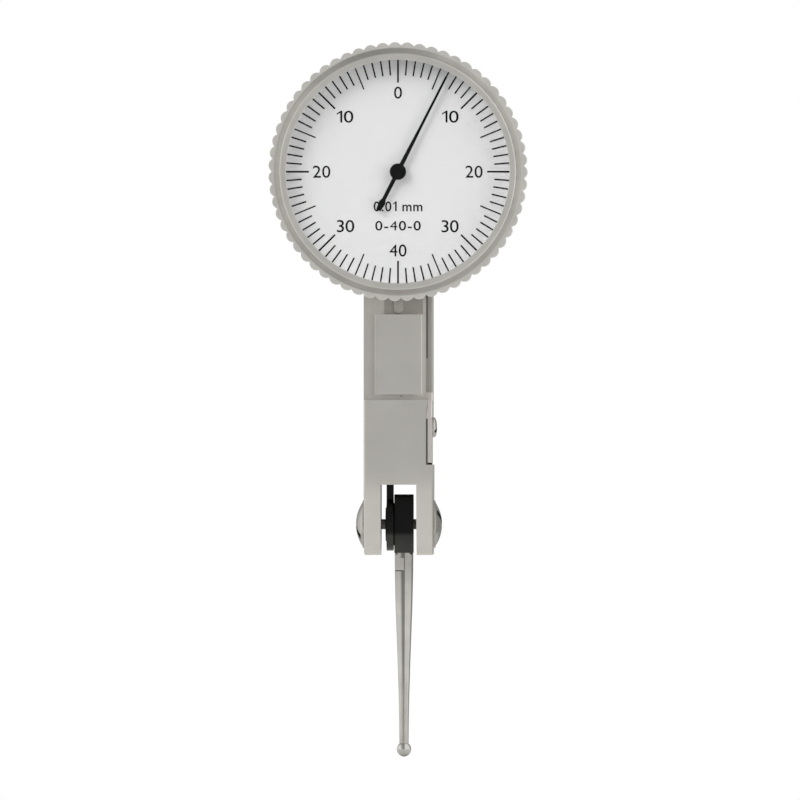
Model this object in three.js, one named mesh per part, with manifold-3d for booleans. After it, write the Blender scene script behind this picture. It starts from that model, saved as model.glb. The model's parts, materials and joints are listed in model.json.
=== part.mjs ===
// Dial test indicator: lever-type indicator with a scalloped dial case, a dovetailed body,
// a fork that carries the stylus lever, and the geared movement that turns the pointer.
// Millimetres. X runs across the body, Y away from the dial's viewer, Z up along the body.
// The origin lies on the flat of the rear dovetail, level with the dial's centre.

import * as THREE from 'three';
import { mergeVertices } from 'three/addons/utils/BufferGeometryUtils.js';
import Module from 'manifold-3d';

const wasm = await Module();
wasm.setup();

// Tooth counts of the train: sector on crown pinion, crown wheel on centre pinion
const sectorCircleTeeth = 482;
const sectorTeeth = 9;
const crownPinionTeeth = 16;
const crownWheelTeeth = 64;
const centrePinionTeeth = 8;

// Angles
const degree = Math.PI / 180;
const leverSwing = 1.55 * degree;
const pointerAngle = 27 * degree;
const dovetailAngle = 60 * degree;
const pressureAngle = 20 * degree;

// Body, fork and dovetails
const bodyWidth = 9.5;
const bodyTopHeight = 13;
const wall = 1;
const leftWall = 1.55;
const edgeChamfer = 0.35;
const dovetailWidth = 6.35;
const dovetailHeight = 1.6;
const frontDovetailLength = 10.9;
const pocketDrop = 17;
const pocketHeadroom = 2.4;
const dovetailEndRelief = 0.76;
const leverCentres = 48;
const forkSlotWidth = 4.77;
const forkRoofRise = 5.4;
const forkEndRadius = 4.2;
const cavityFloorDepth = 3.6;

// Side cover
const coverThickness = 0.65;
const coverInset = 0.1;
const coverSeam = 0.25;
const coverEndSeam = 0.28;
const coverEndRise = 3;
const coverScrewHeadRadius = 1.375;
const coverScrewHeadHeight = 0.5;
const coverScrewRadius = 0.5;
const coverScrewBossRadius = 1.2;
const lowerCoverScrewRise = 13.2;
const upperCoverScrewRise = 9.9;

// Clearances
const fixedFit = 0.02;
const caseFit = 0.05;
const runningFit = 0.03;
const seatGap = 0.02;
const wheelClearance = 0.2;
const overrun = 1;

// Stylus lever and its pivot
const pivotShaftRadius = 0.7;
const pivotTenonRadius = 0.35;
const leverPlateThickness = 0.95;
const leverPlateOffset = 1.205;
const leverFootRadius = 3.6;
const leverNeckWidth = 2.4;
const leverHeadWidth = 1.7;
const leverWasherRadius = 2.3;
const leverWasherThickness = 0.14;
const frictionWasherRadius = 2.9;
const sectorThickness = 0.7;
const sectorRimDepth = 1.5;
const sectorTailLength = 8.6;
const sectorTailWidth = 2;
const rivetRadius = 0.33;
const rivetHeadRadius = 0.6;
const rivetHeadHeight = 0.2;
const rivetPitch = 2.2;

// Stylus
const blockWidth = 2.6;
const blockOffset = 0.68;
const blockDepth = 4.6;
const blockRise = 4.2;
const blockDrop = 3.9;
const blockCornerRadius = 1;
const stylusLength = 30.7;
const stylusTopRadius = 1.265;
const stylusTipRadius = 0.6;
const ballRadius = 1;
const stylusStubRadius = 0.6;
const stylusStubLength = 2;
const stylusFlatDepth = 0.3;
const stylusFlatHeight = 1.8;
const stylusFlatDrop = 0.7;
const stylusFlatTurn = 35 * degree;

// Pivot caps and jewels
const pivotCapRadius = 3.25;
const pivotCapHeight = 1.15;
const pivotCapStemRadius = 2;
const pivotCapSlotWidth = 0.8;
const pivotCapSlotDepth = 0.65;
const pivotCapSlotTurn = 60 * degree;
const forkWeb = 0.55;
const pivotJewelRadius = 1.3;
const pivotJewelThickness = 0.6;
const jewelRadius = 0.75;
const jewelThickness = 0.5;

// Crown arbor and crown wheel
const crownWheelRadius = 4.8;
const crownToothLength = 0.8;
const crownArborRadius = 0.4;
const crownTenonRadius = 0.22;
const crownPinionLength = 1;
const crownRimDepth = 1.15;
const crownWebThickness = 0.4;
const crownHubRadius = 0.95;
const crownHubLength = 1.1;
const crownSpokes = 4;
const crownSpokeWidth = 0.9;

// Centre arbor, bridge and movement plate
const centreArborRadius = 0.28;
const centreTenonRadius = 0.2;
const centrePinionLength = 0.5;
const centreWindowRoom = 0.75;
const centreJewelRadius = 0.55;
const centreJewelThickness = 0.45;
const endStoneThickness = 0.28;
const bridgeThickness = 0.8;
const bridgeEyeRadius = 0.95;
const bridgeFootRadius = 1;
const bridgeFootSide = 2.1;
const bridgeFootRise = 5;
const movementPlateThickness = 0.6;
const movementPlateRise = 7.3;
const movementPlateCorner = 0.95;
const movementPlateMargin = 0.1;
const plateWindowRise = 3.4;
const plateWindowWidth = 4.8;
const plateWindowHeight = 2.4;
const postRadius = 1;
const postRise = 6.4;
const screwRadius = 0.35;
const screwHeadRadius = 0.75;
const screwHeadHeight = 0.45;
const screwSlotWidth = 0.2;
const stopPinRadius = 0.4;
const stopPinRise = 24;
const stopPinLength = 2.9;

// Dial case
const windowRadius = 15.2;
const crystalLap = 0.35;
const gasketWall = 0.18;
const lipWall = 0.32;
const rimFlareWidth = 0.52;
const knurlWidth = 1;
const scallops = 63;
const scallopDepth = 0.5;
const bezelWall = 0.9;
const bezelBackGap = 0.15;
const knurlChamfer = 0.25;
const bowlFloor = 0.8;
const bowlWall = 0.7;
const bowlFlangeThickness = 0.55;
const bowlFlangeWidth = 0.6;
const bezelClearance = 0.1;
const movementSpace = 1.6;
const dialThickness = 0.35;
const dialHoleRadius = 0.9;
const handSpace = 1.85;
const crystalThickness = 0.9;
const lipThickness = 0.3;
const rimHeight = 1.2;
const dialRingThickness = 0.3;
const dialRingWidth = 0.65;
const spacerRingWidth = 0.85;
const bezelWireRadius = 0.2;
const bezelWireRise = 1.3;
const bezelWireGap = 30 * degree;
const bowlScrewSide = 2.75;
const bowlScrewRise = 8.6;
const tongueWidth = 1.1;
const tongueThickness = 0.9;
const tongueReach = 2.3;

// Pointer, hairspring and collet
const pointerReach = 14.7;
const pointerTail = 5.9;
const pointerSpear = 1.6;
const pointerThickness = 0.2;
const pointerRootWidth = 0.5;
const pointerTipWidth = 0.24;
const pointerTailWidth = 0.4;
const pointerSpearWidth = 0.76;
const pointerDialGap = 0.75;
const pointerHubRadius = 1.115;
const pointerHubHeight = 0.45;
const colletRadius = 0.75;
const hairspringHeight = 0.5;
const hairspringStrip = 0.1;
const hairspringTurns = 4;
const hairspringRadius = 3.25;
const hairspringGap = 0.4;
const hairspringStudRadius = 0.35;

// Fineness of round surfaces
const largeSides = 48;
const ringSides = 40;
const middleSides = 24;
const smallSides = 16;
const tinySides = 10;
const domeSteps = 3;
const scallopSteps = 4;

// Heights along Z, measured from the dial's centre
const pivotZ = -leverCentres;
const forkRoofZ = pivotZ + forkRoofRise;
const cavityFloorZ = forkRoofZ + cavityFloorDepth;
const coverEndZ = forkRoofZ + coverEndRise;
const pocketTopZ = -pocketDrop;
const frontDovetailTopZ = pocketTopZ - pocketHeadroom;
const frontDovetailEndZ = frontDovetailTopZ - frontDovetailLength;
const pocketEndZ = frontDovetailEndZ - dovetailEndRelief;
const cavityTopZ = bodyTopHeight - wall;
const ballZ = pivotZ - stylusLength;
const blockBottomZ = pivotZ - blockDrop;

// Depths along Y, from the rear dovetail's flat towards the viewer
const bodyBackY = -dovetailHeight;
const cavityBackY = bodyBackY - wall;
const leverY = cavityBackY - wheelClearance - crownWheelRadius;
const cavityFrontY = leverY - crownWheelRadius - wheelClearance;
const bodyFrontY = cavityFrontY - wall;
const pocketFloorY = bodyFrontY + dovetailHeight;
const lowerCavityFrontY = pocketFloorY + wall;
const bowlFrontY = bodyFrontY - bowlFloor;
const dialBackY = bowlFrontY - movementSpace;
const dialFrontY = dialBackY - dialThickness;
const crystalBackY = dialFrontY - handSpace;
const crystalFrontY = crystalBackY - crystalThickness;
const bezelFrontY = crystalFrontY - lipThickness;
const bowlFlangeFrontY = bodyFrontY - bowlFlangeThickness;
const bezelBackY = bowlFlangeFrontY - bezelBackGap;
const knurlFrontY = bezelFrontY + rimHeight;
const pointerBackY = dialFrontY - pointerDialGap;
const pointerFrontY = pointerBackY - pointerThickness;
const crownMeshY = leverY - crownWheelRadius + crownToothLength / 2;

// Places across X
const bodyHalf = bodyWidth / 2;
const cavityLeftX = -bodyHalf + leftWall;
const coverOuterX = bodyHalf - coverInset;
const coverInnerX = coverOuterX - coverThickness;
const bodyOpenX = coverInnerX - coverSeam;
const forkSlotHalf = forkSlotWidth / 2;
const leverPlateLeftX = -leverPlateOffset - leverPlateThickness / 2;
const leverPlateRightX = leverPlateLeftX + leverPlateThickness;
const blockLeftX = blockOffset - blockWidth / 2;
const blockRightX = blockOffset + blockWidth / 2;
const sectorLeftX = leverPlateLeftX - sectorThickness;

// Radii of the dial case
const crystalRadius = windowRadius + crystalLap;
const gasketRadius = crystalRadius + gasketWall;
const lipRadius = gasketRadius + caseFit + lipWall;
const rimFlareRadius = lipRadius + rimFlareWidth;
const bezelRadius = rimFlareRadius + knurlWidth;
const scallopValleyRadius = bezelRadius - scallopDepth;
const bezelBoreRadius = scallopValleyRadius - bezelWall;
const bowlRadius = bezelBoreRadius - bezelClearance;
const bezelWireY = bodyFrontY - bezelWireRise;

// Gear sizes
const sectorModule = (2 * leverCentres) / (sectorCircleTeeth + crownPinionTeeth);
const sectorPitchRadius = (sectorModule * sectorCircleTeeth) / 2;
const crownPinionRadius = (sectorModule * crownPinionTeeth) / 2;
const crownMeanRadius = crownWheelRadius - crownToothLength / 2;
const crownModule = (2 * crownMeanRadius) / crownWheelTeeth;
const centrePinionRadius = (crownModule * centrePinionTeeth) / 2;
const addendumShare = 1;
const dedendumShare = 1.25;
const toothThicknessShare = 0.42;
const sectorRootRadius = sectorPitchRadius - dedendumShare * sectorModule;
const leverTopRise = sectorRootRadius - sectorRimDepth - wheelClearance;
const crownRootX = centrePinionRadius + dedendumShare * crownModule;
const crownTipX = centrePinionRadius - addendumShare * crownModule;
const crownBackX = crownRootX + crownRimDepth;

const colours = {
  satin: { color: 0xaca9a4, roughness: 0.42, metalness: 0.85 },
  bezel: { color: 0xc4c1ba, roughness: 0.4, metalness: 0.8 },
  polished: { color: 0xd8d8d6, roughness: 0.15, metalness: 1 },
  steel: { color: 0xb9b6af, roughness: 0.3, metalness: 0.9 },
  black: { color: 0x1e1c1a, roughness: 0.5, metalness: 0.3 },
  brass: { color: 0xc9a24e, roughness: 0.35, metalness: 0.9 },
  ruby: { color: 0xa01838, roughness: 0.1, metalness: 0 },
  white: { color: 0xdedede, roughness: 0.7, metalness: 0 },
  crystal: { color: 0xf4f8fa, roughness: 0.03, metalness: 0 },
  rubber: { color: 0x2a2a2a, roughness: 0.8, metalness: 0 },
  blued: { color: 0x2b3a5c, roughness: 0.35, metalness: 0.8 },
};

// Solid modelling helpers

function signedVolume(positions, indices) {
  const corner = (k) => new THREE.Vector3().fromArray(positions, 3 * indices[k]);
  let volume = 0;
  for (let k = 0; k < indices.length; k += 3) {
    volume += corner(k).dot(corner(k + 1).cross(corner(k + 2)));
  }
  return volume;
}

function solidOf(geometry) {
  const bare = geometry.clone();
  bare.deleteAttribute('normal');
  bare.deleteAttribute('uv');
  const merged = mergeVertices(bare, 1e-5);
  const vertProperties = new Float32Array(merged.attributes.position.array);
  const indices = Array.from(merged.index.array);
  const kept = [];
  for (let k = 0; k < indices.length; k += 3) {
    const [a, b, c] = indices.slice(k, k + 3);
    if (a !== b && b !== c && c !== a) kept.push(a, b, c);
  }
  const inward = signedVolume(vertProperties, kept) < 0;
  const triVerts = new Uint32Array(inward ? kept.reverse() : kept);
  return new wasm.Manifold(new wasm.Mesh({ numProp: 3, vertProperties, triVerts }));
}

function geometryOf(solid) {
  const mesh = solid.getMesh();
  const geometry = new THREE.BufferGeometry();
  geometry.setAttribute('position', new THREE.BufferAttribute(mesh.vertProperties, mesh.numProp));
  geometry.setIndex(new THREE.BufferAttribute(mesh.triVerts, 1));
  geometry.computeVertexNormals();
  return geometry;
}

function join(...pieces) {
  return geometryOf(pieces.map(solidOf).reduce((all, next) => all.add(next)));
}

function cut(piece, ...tools) {
  return geometryOf(tools.map(solidOf).reduce((left, tool) => left.subtract(tool), solidOf(piece)));
}

function common(piece, other) {
  return geometryOf(solidOf(piece).intersect(solidOf(other)));
}

function block([x0, x1], [y0, y1], [z0, z1]) {
  const box = new THREE.BoxGeometry(Math.abs(x1 - x0), Math.abs(y1 - y0), Math.abs(z1 - z0));
  return box.translate((x0 + x1) / 2, (y0 + y1) / 2, (z0 + z1) / 2);
}

// Profile points are [radius, height]; the turned solid stands along Y
function turnedY(profile, sides) {
  return new THREE.LatheGeometry(profile.map(([r, h]) => new THREE.Vector2(r, h)), sides);
}

function turnedX(profile, sides, y = 0, z = 0) {
  return turnedY(profile, sides).rotateZ(-Math.PI / 2).translate(0, y, z);
}

function turnedZ(profile, sides, x = 0, y = 0) {
  return turnedY(profile, sides).rotateX(Math.PI / 2).translate(x, y, 0);
}

function rodProfile(radius, from, to) {
  return [[0, from], [radius, from], [radius, to], [0, to]];
}

function ringProfile(outer, inner, from, to) {
  return [[inner, from], [outer, from], [outer, to], [inner, to], [inner, from]];
}

function rodX(radius, from, to, y, z, sides = tinySides) {
  return turnedX(rodProfile(radius, from, to), sides, y, z);
}

function rodY(radius, from, to, x, z, sides = tinySides) {
  return turnedY(rodProfile(radius, from, to), sides).translate(x, 0, z);
}

function outline(points) {
  return new THREE.Shape(points.map(([u, v]) => new THREE.Vector2(u, v)));
}

// An outline drawn in Y and Z, given a thickness along X
function plateX(shape, from, to, curveSegments = smallSides) {
  const options = { depth: to - from, bevelEnabled: false, curveSegments };
  const plate = new THREE.ExtrudeGeometry(shape, options);
  const turn = new THREE.Matrix4().makeBasis(
    new THREE.Vector3(0, 1, 0),
    new THREE.Vector3(0, 0, 1),
    new THREE.Vector3(1, 0, 0),
  );
  return plate.applyMatrix4(turn).translate(from, 0, 0);
}

// An outline drawn in X and Z, given a thickness along Y from its back to its front
function plateY(shape, back, front, curveSegments = smallSides) {
  const options = { depth: back - front, bevelEnabled: false, curveSegments };
  const plate = new THREE.ExtrudeGeometry(shape, options);
  const turn = new THREE.Matrix4().makeBasis(
    new THREE.Vector3(1, 0, 0),
    new THREE.Vector3(0, 0, 1),
    new THREE.Vector3(0, -1, 0),
  );
  return plate.applyMatrix4(turn).translate(0, back, 0);
}

// An outline drawn in X and Y, given a height along Z
function plateZ(shape, from, to, curveSegments = smallSides) {
  const options = { depth: to - from, bevelEnabled: false, curveSegments };
  return new THREE.ExtrudeGeometry(shape, options).translate(0, 0, from);
}

function arcPoints(centreU, centreV, radius, from, to, steps) {
  const at = (k) => from + ((to - from) * k) / steps;
  return Array.from({ length: steps + 1 }, (_, k) => [
    centreU + radius * Math.cos(at(k)),
    centreV + radius * Math.sin(at(k)),
  ]);
}

function roundedRectangle([u0, u1], [v0, v1], radius) {
  const quarter = Math.PI / 2;
  const steps = 5;
  return outline([
    ...arcPoints(u1 - radius, v1 - radius, radius, 0, quarter, steps),
    ...arcPoints(u0 + radius, v1 - radius, radius, quarter, 2 * quarter, steps),
    ...arcPoints(u0 + radius, v0 + radius, radius, 2 * quarter, 3 * quarter, steps),
    ...arcPoints(u1 - radius, v0 + radius, radius, 3 * quarter, 4 * quarter, steps),
  ]);
}

// Rings with the same number of points, joined by walls and closed by a flat at each end
function loft(rings) {
  const count = rings[0].length;
  const positions = rings.flat().flatMap((p) => [p.x, p.y, p.z]);
  const indices = [];
  for (let ring = 0; ring + 1 < rings.length; ring += 1) {
    for (let k = 0; k < count; k += 1) {
      const a = ring * count + k;
      const b = ring * count + ((k + 1) % count);
      indices.push(a, b, b + count, a, b + count, a + count);
    }
  }
  for (const [ring, flip] of [[0, true], [rings.length - 1, false]]) {
    const centre = positions.length / 3;
    const middle = rings[ring].reduce((sum, p) => sum.add(p), new THREE.Vector3());
    middle.divideScalar(count);
    positions.push(middle.x, middle.y, middle.z);
    for (let k = 0; k < count; k += 1) {
      const a = ring * count + k;
      const b = ring * count + ((k + 1) % count);
      indices.push(...(flip ? [centre, b, a] : [centre, a, b]));
    }
  }
  const geometry = new THREE.BufferGeometry();
  geometry.setAttribute('position', new THREE.Float32BufferAttribute(positions, 3));
  geometry.setIndex(indices);
  return geometry;
}

// Gear teeth

function involute(angle) {
  return Math.tan(angle) - angle;
}

// Half the angle that a tooth fills at a radius, with straight walls below the base circle
function toothHalfAngle(radius, pitchRadius, teeth) {
  const base = pitchRadius * Math.cos(pressureAngle);
  const atPitch = (toothThicknessShare * Math.PI) / teeth;
  const reach = Math.max(radius, base);
  return atPitch + involute(pressureAngle) - involute(Math.acos(base / reach));
}

// One tooth, as [angle, radius] points from its lower left root to its lower right root
function toothPoints(teeth, module) {
  const pitchRadius = (teeth * module) / 2;
  const root = pitchRadius - dedendumShare * module;
  const tip = pitchRadius + addendumShare * module;
  const flank = [root, pitchRadius, tip].map((r) => [toothHalfAngle(r, pitchRadius, teeth), r]);
  return [...flank.map(([a, r]) => [-a, r]), ...flank.reverse()];
}

function pinionOutline(teeth, module, turn) {
  const points = [];
  for (let tooth = 0; tooth < teeth; tooth += 1) {
    const centre = turn + (2 * Math.PI * tooth) / teeth;
    for (const [angle, radius] of toothPoints(teeth, module)) {
      points.push([radius * Math.cos(centre + angle), radius * Math.sin(centre + angle)]);
    }
  }
  return outline(points);
}

function screwY(x, z, headBack, headFront, tip) {
  const head = rodY(screwHeadRadius, headBack, headFront, x, z);
  const shank = rodY(screwRadius, headBack, tip, x, z);
  const slotFloor = (headBack + headFront) / 2;
  const beyond = headFront + Math.sign(headFront - headBack) * overrun;
  const slot = block(
    [x - screwHeadRadius - overrun, x + screwHeadRadius + overrun],
    [slotFloor, beyond],
    [z - screwSlotWidth / 2, z + screwSlotWidth / 2],
  );
  return cut(join(head, shank), slot);
}

function screwX(y, z, headBack, headFront, tip) {
  const head = rodX(screwHeadRadius, headBack, headFront, y, z);
  const shank = rodX(screwRadius, tip, headBack, y, z);
  const slot = block(
    [(headBack + headFront) / 2, headFront + overrun],
    [y - screwHeadRadius - overrun, y + screwHeadRadius + overrun],
    [z - screwSlotWidth / 2, z + screwSlotWidth / 2],
  );
  return cut(join(head, shank), slot);
}

// Body

// Angle, from the pivot, at which a wall that leaves the corner touches the fork's round end
function tangentAngle(cornerY) {
  const dy = cornerY - leverY;
  const dz = forkRoofZ - pivotZ;
  const towards = Math.atan2(dz, dy);
  const swing = Math.acos(forkEndRadius / Math.hypot(dy, dz));
  return dy < 0 ? towards + swing : towards - swing;
}

function sideOutline(endZ, rounded) {
  const front = tangentAngle(bodyFrontY);
  const back = tangentAngle(bodyBackY) + 2 * Math.PI;
  const foot = rounded
    ? [
        [bodyFrontY, forkRoofZ],
        ...arcPoints(leverY, pivotZ, forkEndRadius, front, back, smallSides),
        [bodyBackY, forkRoofZ],
      ]
    : [[bodyFrontY, endZ], [bodyBackY, endZ]];
  return outline([
    [bodyBackY, bodyTopHeight],
    [bodyFrontY, bodyTopHeight],
    [bodyFrontY, pocketTopZ],
    [pocketFloorY, pocketTopZ],
    [pocketFloorY, pocketEndZ],
    [bodyFrontY, pocketEndZ],
    ...foot,
  ]);
}

// Column with chamfered edges that trims the body and its cover alike
function chamferedColumn(halfWidth) {
  const [x, c] = [halfWidth, edgeChamfer];
  const shape = outline([
    [-x, bodyBackY - c],
    [-x + c, bodyBackY],
    [x - c, bodyBackY],
    [x, bodyBackY - c],
    [x, bodyFrontY + c],
    [x - c, bodyFrontY],
    [-x + c, bodyFrontY],
    [-x, bodyFrontY + c],
  ]);
  return plateZ(shape, pivotZ - forkEndRadius - overrun, bodyTopHeight + overrun);
}

function dovetailSection(baseV, faceV) {
  const half = dovetailWidth / 2;
  const neck = half - dovetailHeight / Math.tan(dovetailAngle);
  return [[-neck, baseV], [-half, faceV], [half, faceV], [neck, baseV]];
}

function dovetails() {
  const sunkBack = bodyBackY - wall / 2;
  const neck = dovetailWidth / 2 - dovetailHeight / Math.tan(dovetailAngle);
  const rear = plateZ(
    outline([[-neck, sunkBack], ...dovetailSection(bodyBackY, 0), [neck, sunkBack]]),
    frontDovetailEndZ,
    bodyTopHeight,
  );
  const sunkPocket = pocketFloorY + wall / 2;
  const front = plateZ(
    outline([[-neck, sunkPocket], ...dovetailSection(pocketFloorY, bodyFrontY), [neck, sunkPocket]]),
    frontDovetailEndZ,
    frontDovetailTopZ,
  );
  const sunkTop = bodyTopHeight - wall / 2;
  const topSection = dovetailSection(bodyTopHeight, bodyTopHeight + dovetailHeight);
  const end = plateY(outline([[-neck, sunkTop], ...topSection, [neck, sunkTop]]), bodyBackY, bodyFrontY);
  return [rear, front, end];
}

function cavity() {
  const acrossX = [cavityLeftX, bodyHalf + overrun];
  const lowerTopZ = pocketTopZ + wall;
  const upper = block(acrossX, [cavityFrontY, cavityBackY], [lowerTopZ, cavityTopZ]);
  const lower = block(
    acrossX,
    [lowerCavityFrontY, cavityBackY],
    [cavityFloorZ, lowerTopZ + overrun],
  );
  const coverRoom = block(
    [bodyOpenX, bodyHalf + overrun],
    [bodyFrontY - overrun, bodyBackY + overrun],
    [coverEndZ - coverEndSeam, bodyTopHeight + overrun],
  );
  return [upper, lower, coverRoom];
}

const leverSlotHalf = leverNeckWidth / 2 + forkRoofRise * Math.sin(leverSwing) + wheelClearance;

function leverSlot() {
  return block(
    [leverPlateLeftX - wheelClearance, leverPlateRightX + wheelClearance],
    [leverY - leverSlotHalf, leverY + leverSlotHalf],
    [forkRoofZ - overrun, cavityFloorZ + overrun],
  );
}

function forkSlot() {
  return block(
    [-forkSlotHalf, forkSlotHalf],
    [bodyFrontY - overrun, bodyBackY + overrun],
    [pivotZ - forkEndRadius - overrun, forkRoofZ],
  );
}

const jewelSeatX = forkSlotHalf + forkWeb;
const capSeatX = jewelSeatX + pivotJewelThickness + 2 * seatGap;

// Stepped bore through one arm: shaft hole, jewel seat and cap thread
function pivotBore(side) {
  const profile = [
    [0, forkSlotHalf - overrun],
    [pivotShaftRadius + bezelClearance, forkSlotHalf - overrun],
    [pivotShaftRadius + bezelClearance, jewelSeatX],
    [pivotJewelRadius + fixedFit, jewelSeatX],
    [pivotJewelRadius + fixedFit, capSeatX],
    [pivotCapStemRadius + caseFit, capSeatX],
    [pivotCapStemRadius + caseFit, bodyHalf + overrun],
    [0, bodyHalf + overrun],
  ];
  return turnedX(profile.map(([r, h]) => [r, side * h]), smallSides, leverY, pivotZ);
}

const postPlaces = [-1, 1].flatMap((up) => [
  [cavityBackY - postRadius + overlapInto(postRadius), up * postRise],
  [cavityFrontY + postRadius - overlapInto(postRadius), up * postRise],
]);

const coverScrewPlaces = [
  [cavityBackY - coverScrewBossRadius + overlapInto(coverScrewBossRadius), pivotZ + lowerCoverScrewRise],
  [cavityBackY - coverScrewBossRadius + overlapInto(coverScrewBossRadius), upperCoverScrewRise],
  [cavityFrontY + coverScrewBossRadius - overlapInto(coverScrewBossRadius), upperCoverScrewRise],
];

// How far a round boss is let into the wall that it stands against
function overlapInto(radius) {
  const letInShare = 0.06;
  return letInShare * radius;
}

const plateSeatX = bodyOpenX - screwHeadHeight - movementPlateThickness - overlapInto(postRadius);

function bosses() {
  const posts = postPlaces.map(([y, z]) => {
    return rodX(postRadius, cavityLeftX - leftWall / 2, plateSeatX, y, z);
  });
  const coverBosses = coverScrewPlaces.map(([y, z]) => {
    return rodX(coverScrewBossRadius, cavityLeftX - leftWall / 2, bodyOpenX, y, z);
  });
  const bridgeBoss = block(
    [cavityLeftX - leftWall / 2, -bridgeFootSide + bridgeFootRadius],
    [cavityFrontY - wall / 2, bridgeFrontY],
    [bridgeFootRise - bridgeFootRadius, bridgeFootRise + bridgeFootRadius],
  );
  return [...posts, ...coverBosses, bridgeBoss];
}

const bridgeBackY = leverY - sectorModule * (crownPinionTeeth / 2 + addendumShare) - wheelClearance;
const bridgeFrontY = bridgeBackY - bridgeThickness;
const bowlScrewPlaces = [-1, 1].flatMap((up) => [
  [-bowlScrewSide, up * bowlScrewRise],
  [bowlScrewSide, up * bowlScrewRise],
]);
const bowlScrewTipY = bodyFrontY + wall - wheelClearance;
const stopPinZ = pivotZ + stopPinRise;
const leverEdgeAtStop = leverHalfWidth(stopPinRise) + stopPinRise * Math.tan(leverSwing);
const stopPinReach = leverEdgeAtStop + stopPinRadius + runningFit;
const centreWindowRadius = centrePinionRadius + centreWindowRoom;

function bodyHoles() {
  const screwHoles = postPlaces.map(([y, z]) => {
    return rodX(screwRadius + fixedFit, cavityLeftX, bodyOpenX + overrun, y, z);
  });
  const coverHoles = coverScrewPlaces.map(([y, z]) => {
    return rodX(coverScrewRadius + fixedFit, cavityLeftX, bodyOpenX + overrun, y, z, smallSides);
  });
  const bowlHoles = bowlScrewPlaces.map(([x, z]) => {
    return rodY(screwRadius + fixedFit, cavityFrontY + overrun / 4, bodyFrontY - overrun, x, z);
  });
  const bridgeHole = rodY(
    screwRadius + fixedFit,
    bridgeFrontY + overrun,
    cavityFrontY,
    -bridgeFootSide,
    bridgeFootRise,
  );
  const stopHoles = [-1, 1].map((side) => {
    const y = leverY + side * stopPinReach;
    return rodX(stopPinRadius + fixedFit, cavityLeftX - leftWall / 2, cavityLeftX + overrun, y, stopPinZ);
  });
  const crownSeat = rodX(jewelRadius + fixedFit, crownLeftJewelX - seatGap, cavityLeftX + overrun, leverY, 0);
  const windowEnds = [cavityFrontY + overrun, bodyFrontY - overrun];
  const centreWindow = rodY(centreWindowRadius, ...windowEnds, 0, 0, smallSides);
  return [...screwHoles, ...coverHoles, ...bowlHoles, bridgeHole, ...stopHoles, crownSeat, centreWindow];
}

const crownLeftJewelX = cavityLeftX - jewelThickness;

function bodyFrame() {
  const column = common(plateX(sideOutline(0, true), -bodyHalf, bodyHalf), chamferedColumn(bodyHalf));
  const shell = cut(column, ...cavity());
  const withBosses = join(shell, ...bosses(), ...dovetails());
  return cut(withBosses, forkSlot(), leverSlot(), pivotBore(-1), pivotBore(1), ...bodyHoles());
}

// Side cover and its screws

function sideCover() {
  const slab = plateX(sideOutline(coverEndZ, false), coverInnerX, coverOuterX);
  const trimmed = common(slab, chamferedColumn(coverOuterX));
  const padEdge = wall + wheelClearance;
  const pad = block(
    [bodyOpenX + seatGap, coverInnerX + coverThickness / 2],
    [lowerCavityFrontY + padEdge, cavityBackY - padEdge],
    [cavityFloorZ + padEdge, pocketTopZ],
  );
  const holes = coverScrewPlaces.map(([y, z]) => {
    return rodX(coverScrewRadius + bezelClearance, bodyOpenX, bodyHalf + overrun, y, z);
  });
  return cut(join(trimmed, pad), ...holes);
}

function coverScrew([y, z]) {
  const [r, h] = [coverScrewHeadRadius, coverScrewHeadHeight];
  const domeRadius = (r * r + h * h) / (2 * h);
  const span = Math.asin(r / domeRadius);
  const dome = arcPoints(0, h - domeRadius, domeRadius, Math.PI / 2 - span, Math.PI / 2, domeSteps);
  const profile = [
    [0, -(coverOuterX - cavityLeftX) / 3],
    [coverScrewRadius, -(coverOuterX - cavityLeftX) / 3],
    [coverScrewRadius, 0],
    ...dome,
  ];
  profile[profile.length - 1] = [0, h];
  const screw = turnedX(profile, smallSides, y, z).translate(coverOuterX, 0, 0);
  const slot = block(
    [coverOuterX + h / 2, coverOuterX + h + overrun],
    [y - r - overrun, y + r + overrun],
    [z - screwSlotWidth, z + screwSlotWidth],
  );
  return cut(screw, slot);
}

function locatingTongue() {
  const top = pocketTopZ - seatGap;
  const half = tongueWidth / 2;
  const shape = outline([
    [half, top],
    [-half, top],
    ...arcPoints(0, top - tongueReach + half, half, Math.PI, 2 * Math.PI, tinySides / 2),
  ]);
  return plateY(shape, pocketFloorY, pocketFloorY - tongueThickness);
}

// Pivot: shaft, jewels and caps

function pivotShaft() {
  const shoulder = jewelSeatX - seatGap;
  const end = jewelSeatX + pivotJewelThickness - seatGap;
  const profile = [
    [0, -end],
    [pivotTenonRadius, -end],
    [pivotTenonRadius, -shoulder],
    [pivotShaftRadius, -shoulder],
    [pivotShaftRadius, shoulder],
    [pivotTenonRadius, shoulder],
    [pivotTenonRadius, end],
    [0, end],
  ];
  return turnedX(profile, smallSides, leverY, pivotZ);
}

function jewelRingX(outer, bore, from, to, y, z, sides = tinySides) {
  return turnedX(ringProfile(outer, bore, from, to), sides, y, z);
}

function pivotJewel(side) {
  const ends = [side * jewelSeatX, side * (jewelSeatX + pivotJewelThickness)].sort((a, b) => a - b);
  return jewelRingX(pivotJewelRadius, pivotTenonRadius + runningFit, ...ends, leverY, pivotZ, smallSides);
}

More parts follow.
